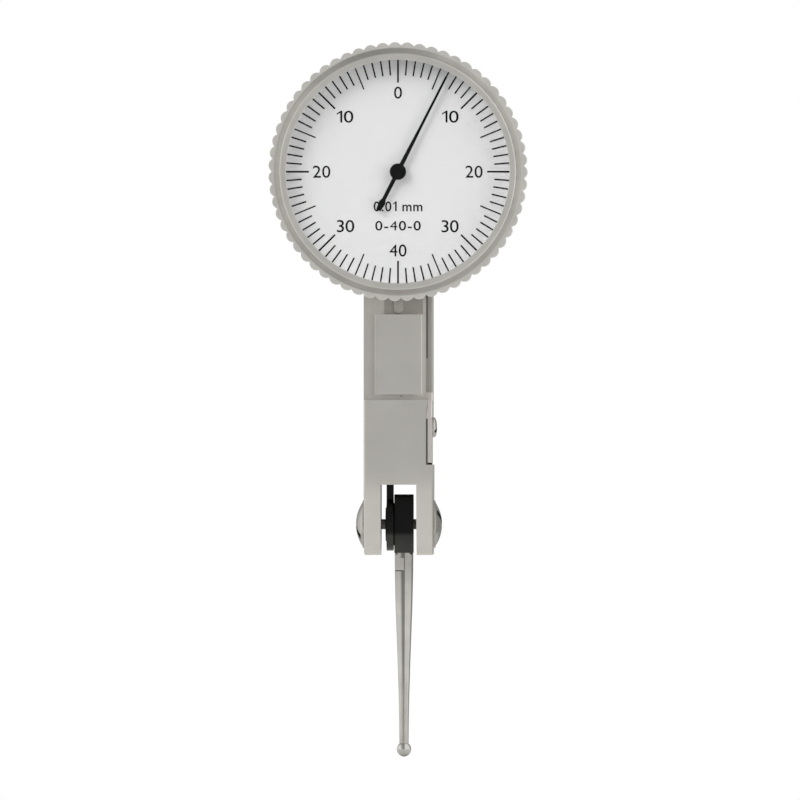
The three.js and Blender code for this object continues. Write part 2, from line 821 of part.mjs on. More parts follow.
function pivotCap(side) {
  const [r, h] = [pivotCapRadius, pivotCapHeight];
  const domeRadius = (r * r + h * h) / (2 * h);
  const span = Math.asin(r / domeRadius);
  const dome = arcPoints(0, h - domeRadius, domeRadius, Math.PI / 2 - span, Math.PI / 2, domeSteps);
  const stemStart = capSeatX + seatGap - bodyHalf;
  const profile = [[0, stemStart], [pivotCapStemRadius, stemStart], [pivotCapStemRadius, 0], ...dome];
  profile[profile.length - 1] = [0, h];
  const cap = turnedX(profile, middleSides);
  const slot = block(
    [h - pivotCapSlotDepth, h + overrun],
    [-r - overrun, r + overrun],
    [-pivotCapSlotWidth / 2, pivotCapSlotWidth / 2],
  ).rotateX(pivotCapSlotTurn);
  const turned = cut(cap, slot).translate(bodyHalf, 0, 0);
  return (side < 0 ? turned.rotateZ(Math.PI) : turned).translate(0, leverY, pivotZ);
}

// Lever

// Half the lever's width at a height above its pivot, narrowing from the neck to the head
function leverHalfWidth(rise) {
  const up = (rise - forkRoofRise) / (leverTopRise - forkRoofRise);
  return (leverNeckWidth + (leverHeadWidth - leverNeckWidth) * up) / 2;
}

function leverOutline() {
  const [foot, neck, head] = [leverFootRadius, leverNeckWidth / 2, leverHeadWidth / 2];
  const neckAngle = Math.acos(neck / foot);
  const top = leverTopRise;
  return outline([
    [leverY - head, pivotZ + top],
    [leverY - neck, pivotZ + forkRoofRise],
    ...arcPoints(leverY, pivotZ, foot, Math.PI - neckAngle, 2 * Math.PI + neckAngle, smallSides),
    [leverY + neck, pivotZ + forkRoofRise],
    [leverY + head, pivotZ + top],
  ]);
}

const rivetRises = [1, 2].map((k) => leverTopRise - k * rivetPitch + rivetPitch / 3);

function leverArm() {
  const plate = plateX(leverOutline(), leverPlateLeftX, leverPlateRightX);
  const bore = rodX(
    pivotShaftRadius + fixedFit,
    leverPlateLeftX - overrun,
    leverPlateRightX + overrun,
    leverY,
    pivotZ,
    smallSides,
  );
  return cut(plate, bore, ...rivetHoles());
}

function rivetHoles() {
  const ends = [sectorLeftX - overrun, leverPlateRightX + overrun];
  return rivetRises.map((rise) => {
    return rodX(rivetRadius + fixedFit, ...ends, leverY, pivotZ + rise);
  });
}

function sectorRivet(rise) {
  const profile = [
    [0, sectorLeftX - rivetHeadHeight],
    [rivetHeadRadius, sectorLeftX - rivetHeadHeight],
    [rivetHeadRadius, sectorLeftX],
    [rivetRadius, sectorLeftX],
    [rivetRadius, leverPlateRightX],
    [rivetHeadRadius, leverPlateRightX],
    [rivetHeadRadius, leverPlateRightX + rivetHeadHeight],
    [0, leverPlateRightX + rivetHeadHeight],
  ];
  return turnedX(profile, tinySides, leverY, pivotZ + rise);
}

// Toothed rim on a tapering tail, its teeth struck about the lever's pivot
function sectorGear() {
  const pitchStep = (2 * Math.PI) / sectorCircleTeeth;
  const halfSpan = (sectorTeeth * pitchStep) / 2;
  const points = [];
  const place = (angle, radius) => {
    points.push([leverY + radius * Math.sin(angle), pivotZ + radius * Math.cos(angle)]);
  };
  place(-halfSpan, sectorRootRadius - sectorRimDepth);
  place(-halfSpan, sectorRootRadius);
  for (let tooth = 0; tooth < sectorTeeth; tooth += 1) {
    const centre = (tooth - (sectorTeeth - 1) / 2) * pitchStep;
    for (const [angle, radius] of toothPoints(sectorCircleTeeth, sectorModule)) {
      place(centre + angle, radius);
    }
  }
  place(halfSpan, sectorRootRadius);
  place(halfSpan, sectorRootRadius - sectorRimDepth);
  const tailTop = pivotZ + sectorRootRadius - 2 * sectorRimDepth;
  const tailEnd = pivotZ + sectorRootRadius - sectorTailLength;
  const half = sectorTailWidth / 2;
  points.push([leverY + half, tailTop]);
  points.push(...arcPoints(leverY, tailEnd, half, 0, -Math.PI, tinySides / 2));
  points.push([leverY - half, tailTop]);
  return cut(plateX(outline(points), sectorLeftX, leverPlateLeftX), ...rivetHoles());
}

function leverWasher() {
  const profile = ringProfile(
    leverWasherRadius,
    pivotShaftRadius + fixedFit,
    leverPlateLeftX - leverWasherThickness,
    leverPlateLeftX,
  );
  return turnedX(profile, smallSides, leverY, pivotZ);
}

function frictionWasher() {
  const profile = ringProfile(
    frictionWasherRadius,
    pivotShaftRadius + fixedFit,
    leverPlateRightX,
    blockLeftX - seatGap,
  );
  return turnedX(profile, smallSides, leverY, pivotZ);
}

// Stylus

function stylusBlock() {
  const shape = roundedRectangle(
    [leverY - blockDepth / 2, leverY + blockDepth / 2],
    [blockBottomZ, pivotZ + blockRise],
    blockCornerRadius,
  );
  const bore = rodX(
    pivotShaftRadius + runningFit,
    blockLeftX - overrun,
    blockRightX + overrun,
    leverY,
    pivotZ,
    smallSides,
  );
  const socketEnds = [blockBottomZ - overrun, blockBottomZ + stylusStubLength + seatGap];
  const socket = turnedZ(
    rodProfile(stylusStubRadius + fixedFit, ...socketEnds),
    smallSides,
    blockOffset,
    leverY,
  );
  return cut(plateX(shape, blockLeftX, blockRightX), bore, socket);
}

// Shares of the taper's length, from the block down, and of the drop in radius there
const stylusTaperShares = [
  [0, 0],
  [0.08, 0.02],
  [0.17, 0.07],
  [0.3, 0.2],
  [0.45, 0.42],
  [0.6, 0.62],
  [0.78, 0.82],
  [1, 1],
];

function stylusShank() {
  const top = blockBottomZ;
  const bottom = ballZ + Math.sqrt(ballRadius ** 2 - stylusTipRadius ** 2);
  const radiusDrop = stylusTopRadius - stylusTipRadius;
  const taper = stylusTaperShares.map(([down, drop]) => [
    stylusTopRadius - drop * radiusDrop,
    top + (bottom - top) * down,
  ]);
  const stubTop = top + stylusStubLength;
  const stub = [[0, stubTop], [stylusStubRadius, stubTop], [stylusStubRadius, top]];
  const shank = turnedZ([...stub, ...taper, [0, bottom]], smallSides);
  const flatHalf = stylusTopRadius - stylusFlatDepth;
  const flats = [-1, 1].map((side) => {
    const flat = block(
      [side * flatHalf, side * (stylusTopRadius + overrun)],
      [-stylusTopRadius - overrun, stylusTopRadius + overrun],
      [top - stylusFlatDrop - stylusFlatHeight, top - stylusFlatDrop],
    );
    return flat.rotateZ(stylusFlatTurn);
  });
  return cut(shank, ...flats).translate(blockOffset, leverY, 0);
}

function ballTip() {
  const flatRise = Math.sqrt(ballRadius ** 2 - stylusTipRadius ** 2);
  const start = Math.atan2(flatRise, stylusTipRadius);
  const arc = arcPoints(0, 0, ballRadius, -Math.PI / 2, start, 2 * domeSteps + 1);
  arc[0] = [0, -ballRadius];
  const profile = [...arc, [0, flatRise]];
  return turnedZ(profile, smallSides, blockOffset, leverY).translate(0, 0, ballZ);
}

function stopPin(side) {
  const from = cavityLeftX - leftWall / 2 + seatGap;
  return rodX(stopPinRadius, from, cavityLeftX + stopPinLength, leverY + side * stopPinReach, stopPinZ);
}

// Crown arbor: the cross shaft that the sector turns

const crownRightJewelX = plateSeatX + (movementPlateThickness - jewelThickness) / 2;

function crownArbor() {
  const leftShoulder = cavityLeftX + seatGap;
  const rightShoulder = plateSeatX - seatGap;
  const profile = [
    [0, crownLeftJewelX + seatGap],
    [crownTenonRadius, crownLeftJewelX + seatGap],
    [crownTenonRadius, leftShoulder],
    [crownArborRadius, leftShoulder],
    [crownArborRadius, rightShoulder],
    [crownTenonRadius, rightShoulder],
    [crownTenonRadius, plateSeatX + movementPlateThickness],
    [0, plateSeatX + movementPlateThickness],
  ];
  return turnedX(profile, tinySides, leverY, 0);
}

function crownPinion() {
  const middle = (sectorLeftX + leverPlateLeftX) / 2;
  const halfPitch = Math.PI / crownPinionTeeth;
  const shape = pinionOutline(crownPinionTeeth, sectorModule, halfPitch);
  const [from, to] = [middle - crownPinionLength / 2, middle + crownPinionLength / 2];
  const bore = rodX(crownArborRadius + fixedFit, from - overrun, to + overrun, 0, 0);
  return cut(plateX(shape, from, to), bore).translate(0, leverY, 0);
}

// Teeth stand on the rim's face and widen outwards, each a wedge with sloping flanks
function crownTooth() {
  const inner = crownMeanRadius - crownToothLength / 2 + fixedFit;
  const outer = crownWheelRadius - fixedFit;
  const half = (radius, x) => {
    const atPitch = (toothThicknessShare * Math.PI * radius) / crownWheelTeeth;
    return atPitch + (x - centrePinionRadius) * Math.tan(pressureAngle);
  };
  const ring = (x) => [
    new THREE.Vector3(x, -half(inner, x), inner),
    new THREE.Vector3(x, -half(outer, x), outer),
    new THREE.Vector3(x, half(outer, x), outer),
    new THREE.Vector3(x, half(inner, x), inner),
  ];
  return loft([ring(crownTipX), ring(crownRootX + fixedFit)]);
}

function crownWheel() {
  const inner = crownMeanRadius - crownToothLength / 2;
  let teeth = null;
  for (let k = 0; k < crownWheelTeeth; k += 1) {
    const angle = (2 * Math.PI * k) / crownWheelTeeth + Math.PI / 2;
    const tooth = solidOf(crownTooth().rotateX(angle));
    teeth = teeth ? teeth.add(tooth) : tooth;
  }
  const rim = turnedX(ringProfile(crownWheelRadius, inner, crownRootX, crownBackX), largeSides);
  const webBack = crownBackX;
  const webFront = webBack - crownWebThickness;
  const hubEnds = [webBack - crownHubLength / 2, webBack + crownHubLength / 2];
  const hub = turnedX(rodProfile(crownHubRadius, ...hubEnds), smallSides);
  const spokes = Array.from({ length: crownSpokes / 2 }, (_, k) => {
    const reach = (inner + crownWheelRadius) / 2;
    const bar = block([webFront, webBack], [-reach, reach], [-crownSpokeWidth / 2, crownSpokeWidth / 2]);
    return bar.rotateX((k * 2 * Math.PI) / crownSpokes + Math.PI / crownSpokes);
  });
  const bore = rodX(crownArborRadius + fixedFit, crownTipX - overrun, crownBackX + overrun, 0, 0);
  return cut(join(rim, hub, ...spokes, geometryOf(teeth)), bore).translate(0, leverY, 0);
}

// Centre arbor: carries pinion, hairspring collet and pointer

const centreJewelBackY = bridgeFrontY + centreJewelThickness;
const arborFrontY = pointerFrontY - pointerHubHeight / 2;

function centreArbor() {
  const halfPitch = Math.PI / centrePinionTeeth;
  const pinionShape = pinionOutline(centrePinionTeeth, crownModule, halfPitch);
  const half = centrePinionLength / 2;
  const leaves = plateY(pinionShape, crownMeshY + half, crownMeshY - half);
  const shaft = turnedY(
    [
      [0, centreJewelBackY - seatGap],
      [centreTenonRadius, centreJewelBackY - seatGap],
      [centreTenonRadius, bridgeFrontY - seatGap],
      [centreArborRadius, bridgeFrontY - seatGap],
      [centreArborRadius, arborFrontY],
      [0, arborFrontY],
    ],
    tinySides,
  );
  return join(leaves, shaft);
}

function centreBridge() {
  const side = Math.atan2(bridgeFootRise, -bridgeFootSide);
  const across = side + Math.PI / 2;
  const eye = arcPoints(0, 0, bridgeEyeRadius, across, across + Math.PI, tinySides);
  const foot = arcPoints(
    -bridgeFootSide,
    bridgeFootRise,
    bridgeFootRadius,
    across - Math.PI,
    across,
    tinySides,
  );
  const plate = plateY(outline([...eye, ...foot]), bridgeBackY, bridgeFrontY);
  const jewelHole = rodY(centreJewelRadius + fixedFit, bridgeBackY + overrun, bridgeFrontY - overrun, 0, 0);
  const screwHole = rodY(
    screwRadius + fixedFit,
    bridgeBackY + overrun,
    bridgeFrontY - overrun,
    -bridgeFootSide,
    bridgeFootRise,
  );
  return cut(plate, jewelHole, screwHole);
}

function centreRearJewel() {
  const profile = ringProfile(
    centreJewelRadius,
    centreTenonRadius + runningFit,
    bridgeFrontY,
    centreJewelBackY,
  );
  return turnedY(profile, tinySides);
}

function centreEndStone() {
  const front = centreJewelBackY + seatGap;
  return turnedY(rodProfile(centreJewelRadius, front, front + endStoneThickness), tinySides);
}

function centreFrontJewel() {
  const front = bodyFrontY - jewelThickness;
  const profile = ringProfile(jewelRadius, centreArborRadius + runningFit, bodyFrontY, front);
  return turnedY(profile, tinySides);
}

function bridgeScrew() {
  const tip = cavityFrontY + screwHeadHeight;
  return screwY(-bridgeFootSide, bridgeFootRise, bridgeBackY, bridgeBackY + screwHeadHeight, tip);
}

function movementPlate() {
  const shape = roundedRectangle(
    [cavityFrontY + movementPlateMargin, cavityBackY - movementPlateMargin],
    [-movementPlateRise, movementPlateRise],
    movementPlateCorner,
  );
  const [from, to] = [plateSeatX, plateSeatX + movementPlateThickness];
  const through = [from - overrun, to + overrun];
  const screwHoles = postPlaces.map(([y, z]) => rodX(screwRadius + fixedFit, ...through, y, z));
  const jewelHole = rodX(jewelRadius + fixedFit, ...through, leverY, 0);
  const windows = [-1, 1].map((up) => {
    const middle = up * plateWindowRise;
    const windowShape = roundedRectangle(
      [leverY - plateWindowWidth / 2, leverY + plateWindowWidth / 2],
      [middle - plateWindowHeight / 2, middle + plateWindowHeight / 2],
      movementPlateCorner,
    );
    return plateX(windowShape, ...through);
  });
  return cut(plateX(shape, from, to), jewelHole, ...screwHoles, ...windows);
}

function movementPlateScrew([y, z]) {
  const seat = plateSeatX + movementPlateThickness;
  return screwX(y, z, seat, seat + screwHeadHeight, plateSeatX - 2 * movementPlateThickness);
}

function crownLeftJewel() {
  return jewelRingX(jewelRadius, crownTenonRadius + runningFit, crownLeftJewelX, cavityLeftX, leverY, 0);
}

function crownRightJewel() {
  const from = crownRightJewelX;
  return jewelRingX(jewelRadius, crownTenonRadius + runningFit, from, from + jewelThickness, leverY, 0);
}

// Hairspring, its collet and its stud

const hairspringBackY = bowlFrontY - hairspringGap;

function hairspring() {
  const steps = hairspringTurns * middleSides;
  const startRadius = colletRadius + hairspringStrip;
  const ringAt = (k) => {
    const angle = (2 * Math.PI * hairspringTurns * k) / steps;
    const radius = startRadius + ((hairspringRadius - startRadius) * k) / steps;
    const corner = (r, y) => new THREE.Vector3(r * Math.cos(angle), y, r * Math.sin(angle));
    return [
      corner(radius, hairspringBackY),
      corner(radius + hairspringStrip, hairspringBackY),
      corner(radius + hairspringStrip, hairspringBackY - hairspringHeight),
      corner(radius, hairspringBackY - hairspringHeight),
    ];
  };
  return loft(Array.from({ length: steps + 1 }, (_, k) => ringAt(k)));
}

function hairspringCollet() {
  const profile = ringProfile(
    colletRadius,
    centreArborRadius + fixedFit,
    hairspringBackY,
    hairspringBackY - hairspringHeight,
  );
  return turnedY(profile, tinySides);
}

function hairspringStud() {
  const x = hairspringRadius + 2 * hairspringStrip + hairspringStudRadius;
  return rodY(hairspringStudRadius, bowlFrontY, hairspringBackY - hairspringHeight, x, 0);
}

// Dial case

function caseBowl() {
  const grooveHalf = bezelWireRadius + bezelClearance / 2;
  const grooveRadius = bowlRadius + bezelClearance / 2 - grooveHalf;
  const rimFrontY = dialBackY + dialRingThickness + wheelClearance + seatGap;
  const seat = jewelRadius + fixedFit;
  const flangeRadius = bowlRadius + bowlFlangeWidth;
  const profile = [
    [seat, bodyFrontY],
    [flangeRadius, bodyFrontY],
    [flangeRadius, bowlFlangeFrontY],
    [bowlRadius, bowlFlangeFrontY],
    [bowlRadius, bezelWireY + grooveHalf],
    [grooveRadius, bezelWireY + grooveHalf],
    [grooveRadius, bezelWireY - grooveHalf],
    [bowlRadius, bezelWireY - grooveHalf],
    [bowlRadius, rimFrontY],
    [bowlRadius - bowlWall, rimFrontY],
    [bowlRadius - bowlWall, bowlFrontY],
    [seat, bowlFrontY],
    [seat, bodyFrontY],
  ];
  const holes = bowlScrewPlaces.map(([x, z]) => {
    return rodY(screwRadius + fixedFit, bodyFrontY + overrun, bowlFrontY - overrun, x, z);
  });
  return cut(turnedY(profile, largeSides), ...holes);
}

function bowlScrew([x, z]) {
  return screwY(x, z, bowlFrontY, bowlFrontY - screwHeadHeight, bowlScrewTipY);
}

// Open wire ring that springs into the bowl's groove and the bezel's
function bezelWire() {
  const radius = bowlRadius + bezelClearance / 2;
  const steps = ringSides;
  const turn = 2 * Math.PI - bezelWireGap;
  const sides = 5;
  const ringAt = (k) => {
    const angle = bezelWireGap / 2 + (turn * k) / steps + Math.PI / 2;
    return Array.from({ length: sides }, (_, s) => {
      const around = (2 * Math.PI * s) / sides;
      const r = radius + bezelWireRadius * Math.cos(around);
      const y = bezelWireY + bezelWireRadius * Math.sin(around);
      return new THREE.Vector3(r * Math.cos(angle), y, r * Math.sin(angle));
    });
  };
  return loft(Array.from({ length: steps + 1 }, (_, k) => ringAt(k)));
}

// Radius of the scalloped edge, a row of round lobes that meet in sharp valleys
function scallopRadius(share) {
  const halfChord = (Math.PI * scallopValleyRadius) / scallops;
  const lobeRadius = (halfChord ** 2 + scallopDepth ** 2) / (2 * scallopDepth);
  const along = (2 * share - 1) * halfChord;
  const rise = Math.sqrt(lobeRadius ** 2 - along ** 2) - (lobeRadius - scallopDepth);
  return scallopValleyRadius + rise;
}

function scallopRing(y, inset) {
  const points = [];
  for (let k = 0; k < scallops * scallopSteps; k += 1) {
    const angle = (2 * Math.PI * k) / (scallops * scallopSteps);
    const radius = scallopRadius((k % scallopSteps) / scallopSteps) - inset;
    points.push(new THREE.Vector3(radius * Math.sin(angle), y, radius * Math.cos(angle)));
  }
  return points;
}

function bezelRing() {
  const knurl = loft([
    scallopRing(bezelBackY, 0),
    scallopRing(knurlFrontY + knurlChamfer, 0),
    scallopRing(knurlFrontY, knurlChamfer),
  ]);
  const flareMiddle = (lipRadius + rimFlareRadius) / 2 - rimFlareWidth / 5;
  const rim = turnedY(
    [
      [0, knurlFrontY + overrun],
      [rimFlareRadius, knurlFrontY + overrun],
      [rimFlareRadius, knurlFrontY],
      [flareMiddle, knurlFrontY - rimHeight / 2],
      [lipRadius, bezelFrontY + lipThickness / 2],
      [lipRadius - lipThickness / 2, bezelFrontY],
      [0, bezelFrontY],
    ],
    largeSides,
  );
  const grooveHalf = bezelWireRadius + bezelClearance / 2;
  const grooveRadius = bezelBoreRadius - bezelClearance / 2 + grooveHalf + runningFit;
  const recess = gasketRadius + caseFit;
  const hollow = turnedY(
    [
      [0, bezelBackY + overrun],
      [bezelBoreRadius, bezelBackY + overrun],
      [bezelBoreRadius, bezelWireY + grooveHalf],
      [grooveRadius, bezelWireY + grooveHalf],
      [grooveRadius, bezelWireY - grooveHalf],
      [bezelBoreRadius, bezelWireY - grooveHalf],
      [bezelBoreRadius, crystalBackY],
      [recess, crystalBackY],
      [recess, crystalFrontY],
      [windowRadius, crystalFrontY],
      [windowRadius, bezelFrontY - overrun],
      [0, bezelFrontY - overrun],
    ],
    largeSides,
  );
  return cut(join(knurl, rim), hollow);
}

function crystal() {
  return turnedY(rodProfile(crystalRadius, crystalBackY - seatGap, crystalFrontY + seatGap), ringSides);
}

function crystalGasket() {
  const profile = ringProfile(
    gasketRadius,
    crystalRadius + caseFit,
    crystalBackY - seatGap,
    crystalFrontY + seatGap,
  );
  return turnedY(profile, ringSides);
}

function dialSpacerRing() {
  const outer = bezelBoreRadius - caseFit;
  const profile = ringProfile(outer, outer - spacerRingWidth, dialFrontY - seatGap, crystalBackY + seatGap);
  return turnedY(profile, ringSides);
}

function dialPlate() {
  const outer = bezelBoreRadius - caseFit;
  return turnedY(ringProfile(outer, dialHoleRadius, dialBackY, dialFrontY), ringSides);
}

function dialRetainingRing() {
  const outer = bezelBoreRadius - caseFit;
  const back = dialBackY + seatGap;
  return turnedY(ringProfile(outer, outer - dialRingWidth, back + dialRingThickness, back), ringSides);
}

// Pointer, drawn pointing up and then turned to its place

function pointer() {
  const [root, tip, tail, spear] = [
    pointerRootWidth / 2,
    pointerTipWidth / 2,
    pointerTailWidth / 2,
    pointerSpearWidth / 2,
  ];
  const eye = centreArborRadius + pointerRootWidth / 2;
  const spearTop = -(pointerTail - pointerSpear);
  const blade = outline([
    [root, 0],
    [tip, pointerReach - pointerTipWidth],
    [0, pointerReach],
    [-tip, pointerReach - pointerTipWidth],
    [-root, 0],
    [-tail, spearTop],
    [-spear, spearTop - pointerSpear / 3],
    [-tail, -pointerTail],
    [tail, -pointerTail],
    [spear, spearTop - pointerSpear / 3],
    [tail, spearTop],
  ]);
  const plate = join(
    plateY(blade, pointerBackY, pointerFrontY),
    rodY(eye, pointerBackY, pointerFrontY, 0, 0, smallSides),
  );
  const bore = rodY(centreArborRadius + fixedFit, pointerBackY + overrun, pointerFrontY - overrun, 0, 0);
  return cut(plate, bore).rotateY(pointerAngle);
}

function pointerHub() {
  const front = pointerFrontY - pointerHubHeight;
  const bevel = pointerHubHeight / 4;
  const hub = turnedY(
    [
      [0, pointerFrontY - seatGap],
      [pointerHubRadius, pointerFrontY - seatGap],
      [pointerHubRadius, front + bevel],
      [pointerHubRadius - bevel, front],
      [0, front],
    ],
    middleSides,
  );
  const bore = rodY(centreArborRadius + fixedFit, pointerFrontY + overrun, arborFrontY - seatGap, 0, 0);
  return cut(hub, bore);
}

// Assembly

const indicator = new THREE.Group();

// Each piece becomes one closed solid whose faces point outwards
function place(name, colour, geometry) {
  const solid = geometryOf(solidOf(geometry));
  const mesh = new THREE.Mesh(solid, new THREE.MeshStandardMaterial(colour));
  mesh.name = name;
  indicator.add(mesh);
}

place('body_frame', colours.satin, bodyFrame());
place('side_cover', colours.satin, sideCover());
coverScrewPlaces.forEach((at, k) => place(`side_cover_screw_${k + 1}`, colours.polished, coverScrew(at)));
place('locating_tongue', colours.steel, locatingTongue());
place('pivot_shaft', colours.steel, pivotShaft());
place('pivot_jewel_left', colours.ruby, pivotJewel(-1));
place('pivot_jewel_right', colours.ruby, pivotJewel(1));
place('pivot_cap_left', colours.polished, pivotCap(-1));
place('pivot_cap_right', colours.polished, pivotCap(1));
place('lever_arm', colours.black, leverArm());
place('lever_washer', colours.black, leverWasher());
place('sector_gear', colours.brass, sectorGear());
rivetRises.forEach((rise, k) => place(`sector_rivet_${k + 1}`, colours.steel, sectorRivet(rise)));
place('friction_washer', colours.black, frictionWasher());
place('stylus_block', colours.black, stylusBlock());
place('stylus_shank', colours.steel, stylusShank());
place('ball_tip', colours.polished, ballTip());
place('lever_stop_pin_front', colours.steel, stopPin(-1));
place('lever_stop_pin_rear', colours.steel, stopPin(1));
place('crown_arbor', colours.steel, crownArbor());
place('crown_pinion', colours.steel, crownPinion());
place('crown_wheel', colours.brass, crownWheel());
place('crown_jewel_left', colours.ruby, crownLeftJewel());
place('crown_jewel_right', colours.ruby, crownRightJewel());
place('movement_plate', colours.brass, movementPlate());
postPlaces.forEach((at, k) => place(`movement_plate_screw_${k + 1}`, colours.blued, movementPlateScrew(at)));
place('centre_bridge', colours.brass, centreBridge());
place('centre_bridge_screw', colours.blued, bridgeScrew());
place('centre_jewel_rear', colours.ruby, centreRearJewel());
place('centre_end_stone', colours.ruby, centreEndStone());
place('centre_jewel_front', colours.ruby, centreFrontJewel());
place('centre_arbor', colours.steel, centreArbor());
place('hairspring_collet', colours.brass, hairspringCollet());
place('hairspring', colours.blued, hairspring());
place('hairspring_stud', colours.brass, hairspringStud());
place('case_bowl', colours.satin, caseBowl());
bowlScrewPlaces.forEach((at, k) => place(`case_bowl_screw_${k + 1}`, colours.blued, bowlScrew(at)));
place('bezel_wire', colours.steel, bezelWire());
place('bezel_ring', colours.bezel, bezelRing());
place('crystal', colours.crystal, crystal());
place('crystal_gasket', colours.rubber, crystalGasket());
place('dial_spacer_ring', colours.satin, dialSpacerRing());
place('dial_plate', colours.white, dialPlate());
place('dial_retaining_ring', colours.steel, dialRetainingRing());
place('pointer', colours.black, pointer());
place('pointer_hub', colours.black, pointerHub());

export default indicator;
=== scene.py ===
"""Looks of a dial test indicator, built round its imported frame.

Meshes are made in millimetres, in the CAD model's own axes: X to the right, Y away from the
camera, Z up. They are turned into metres when a piece is finished.
"""

import json
import logging
import math
from dataclasses import dataclass
from enum import Enum, StrEnum, auto
from functools import cache
from typing import Callable, Mapping, Sequence

import bmesh
import bpy
from mathutils import Matrix, Vector


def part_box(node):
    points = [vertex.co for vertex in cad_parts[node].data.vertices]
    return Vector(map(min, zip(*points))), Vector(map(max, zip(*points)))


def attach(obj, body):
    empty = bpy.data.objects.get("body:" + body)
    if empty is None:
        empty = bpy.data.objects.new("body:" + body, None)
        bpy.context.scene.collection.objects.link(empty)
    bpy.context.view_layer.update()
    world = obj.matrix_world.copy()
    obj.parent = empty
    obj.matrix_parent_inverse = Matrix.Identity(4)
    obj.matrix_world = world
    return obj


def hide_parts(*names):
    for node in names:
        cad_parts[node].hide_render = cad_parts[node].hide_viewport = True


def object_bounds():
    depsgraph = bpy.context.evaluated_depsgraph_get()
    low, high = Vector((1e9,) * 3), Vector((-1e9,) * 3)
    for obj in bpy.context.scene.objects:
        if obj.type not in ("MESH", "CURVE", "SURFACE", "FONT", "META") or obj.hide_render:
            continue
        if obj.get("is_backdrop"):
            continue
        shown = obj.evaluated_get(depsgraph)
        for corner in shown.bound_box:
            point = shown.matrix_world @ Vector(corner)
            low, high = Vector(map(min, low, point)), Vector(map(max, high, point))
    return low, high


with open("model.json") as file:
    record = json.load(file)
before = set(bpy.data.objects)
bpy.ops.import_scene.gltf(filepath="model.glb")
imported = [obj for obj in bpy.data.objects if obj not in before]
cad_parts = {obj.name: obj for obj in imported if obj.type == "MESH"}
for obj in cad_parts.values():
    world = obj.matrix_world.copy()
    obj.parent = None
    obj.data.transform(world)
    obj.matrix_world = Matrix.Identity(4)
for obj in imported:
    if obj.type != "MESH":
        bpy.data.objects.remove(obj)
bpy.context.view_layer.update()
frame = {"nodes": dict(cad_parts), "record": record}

logging.basicConfig(level=logging.INFO, format="%(name)s: %(message)s")
LOG = logging.getLogger("indicator")

Mesh = bmesh.types.BMesh
Face = bmesh.types.BMFace
Edge = bmesh.types.BMEdge
Object = bpy.types.Object
Material = bpy.types.Material
Socket = bpy.types.NodeSocket
Point = tuple[float, float]
Spot = tuple[float, float, float]
Colour = tuple[float, float, float, float]

MM = 0.001
FULL_TURN = 2 * math.pi
WHITE = (1.0, 1.0, 1.0, 1.0)
ORIGIN = (0.0, 0.0, 0.0)
# Angles: least one of an edge that is bevelled, and largest one between faces that are one plane.
SHARP = math.radians(35)
FLAT = math.radians(0.5)
# Distances in mm: under which vertices merge, within which places count as one, and by which
# cutting tools run out of what they cut.
MERGE = 1e-4
NEAR = 0.01
OVERRUN = 5.0
# Place of the lever's pivot in mm, (y, z).
AXLE: Point = (-7.6, -48.0)


class Body(StrEnum):
    """Moving bodies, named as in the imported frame."""

    HOUSING = auto()
    BEZEL = auto()
    LEVER = auto()
    STYLUS = auto()
    CENTRE = auto()


class Slot(StrEnum):
    """Material slots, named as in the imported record."""

    SATIN_CHROME = auto()
    BEZEL_CHROME = auto()
    POLISHED_STEEL = auto()
    PLAIN_STEEL = auto()
    STYLUS_STEEL = auto()
    BLACKENED_STEEL = auto()
    MOVEMENT_BRASS = auto()
    BLUED_STEEL = auto()
    RUBY = auto()
    DIAL_FACE = auto()
    CRYSTAL = auto()
    GASKET_RUBBER = auto()
    POINTER_BLACK = auto()


class Axis(Enum):
    """Axes that round pieces are spun about."""

    X = (1.0, 0.0, 0.0)
    Y = (0.0, 1.0, 0.0)
    Z = (0.0, 0.0, 1.0)

    @property
    def vector(self) -> Vector:
        """The axis as a vector."""
        return Vector(self.value)


class Rank(Enum):
    """Kinds of division on the dial, with the inner radius and width of their marks in mm."""

    SINGLE = (13.14, 0.205)
    FIVE = (12.12, 0.185)
    TEN = (12.12, 0.24)


def srgb(red: float, green: float, blue: float) -> Colour:
    """Turns display values into a linear colour.

    Args:
        red: Red from 0 to 255.
        green: Green from 0 to 255.
        blue: Blue from 0 to 255.

    Returns:
        The linear colour with full alpha.
    """
    shares = [value / 255 for value in (red, green, blue)]
    bright = [((share + 0.055) / 1.055) ** 2.4 for share in shares]
    linear = [share / 12.92 if share <= 0.04045 else light for share, light in zip(shares, bright)]
    return (*linear, 1.0)


def shaded(colour: Colour, share: float) -> Colour:
    """Scales a linear colour's light, with its alpha kept."""
    return (*(part * share for part in colour[:3]), colour[3])


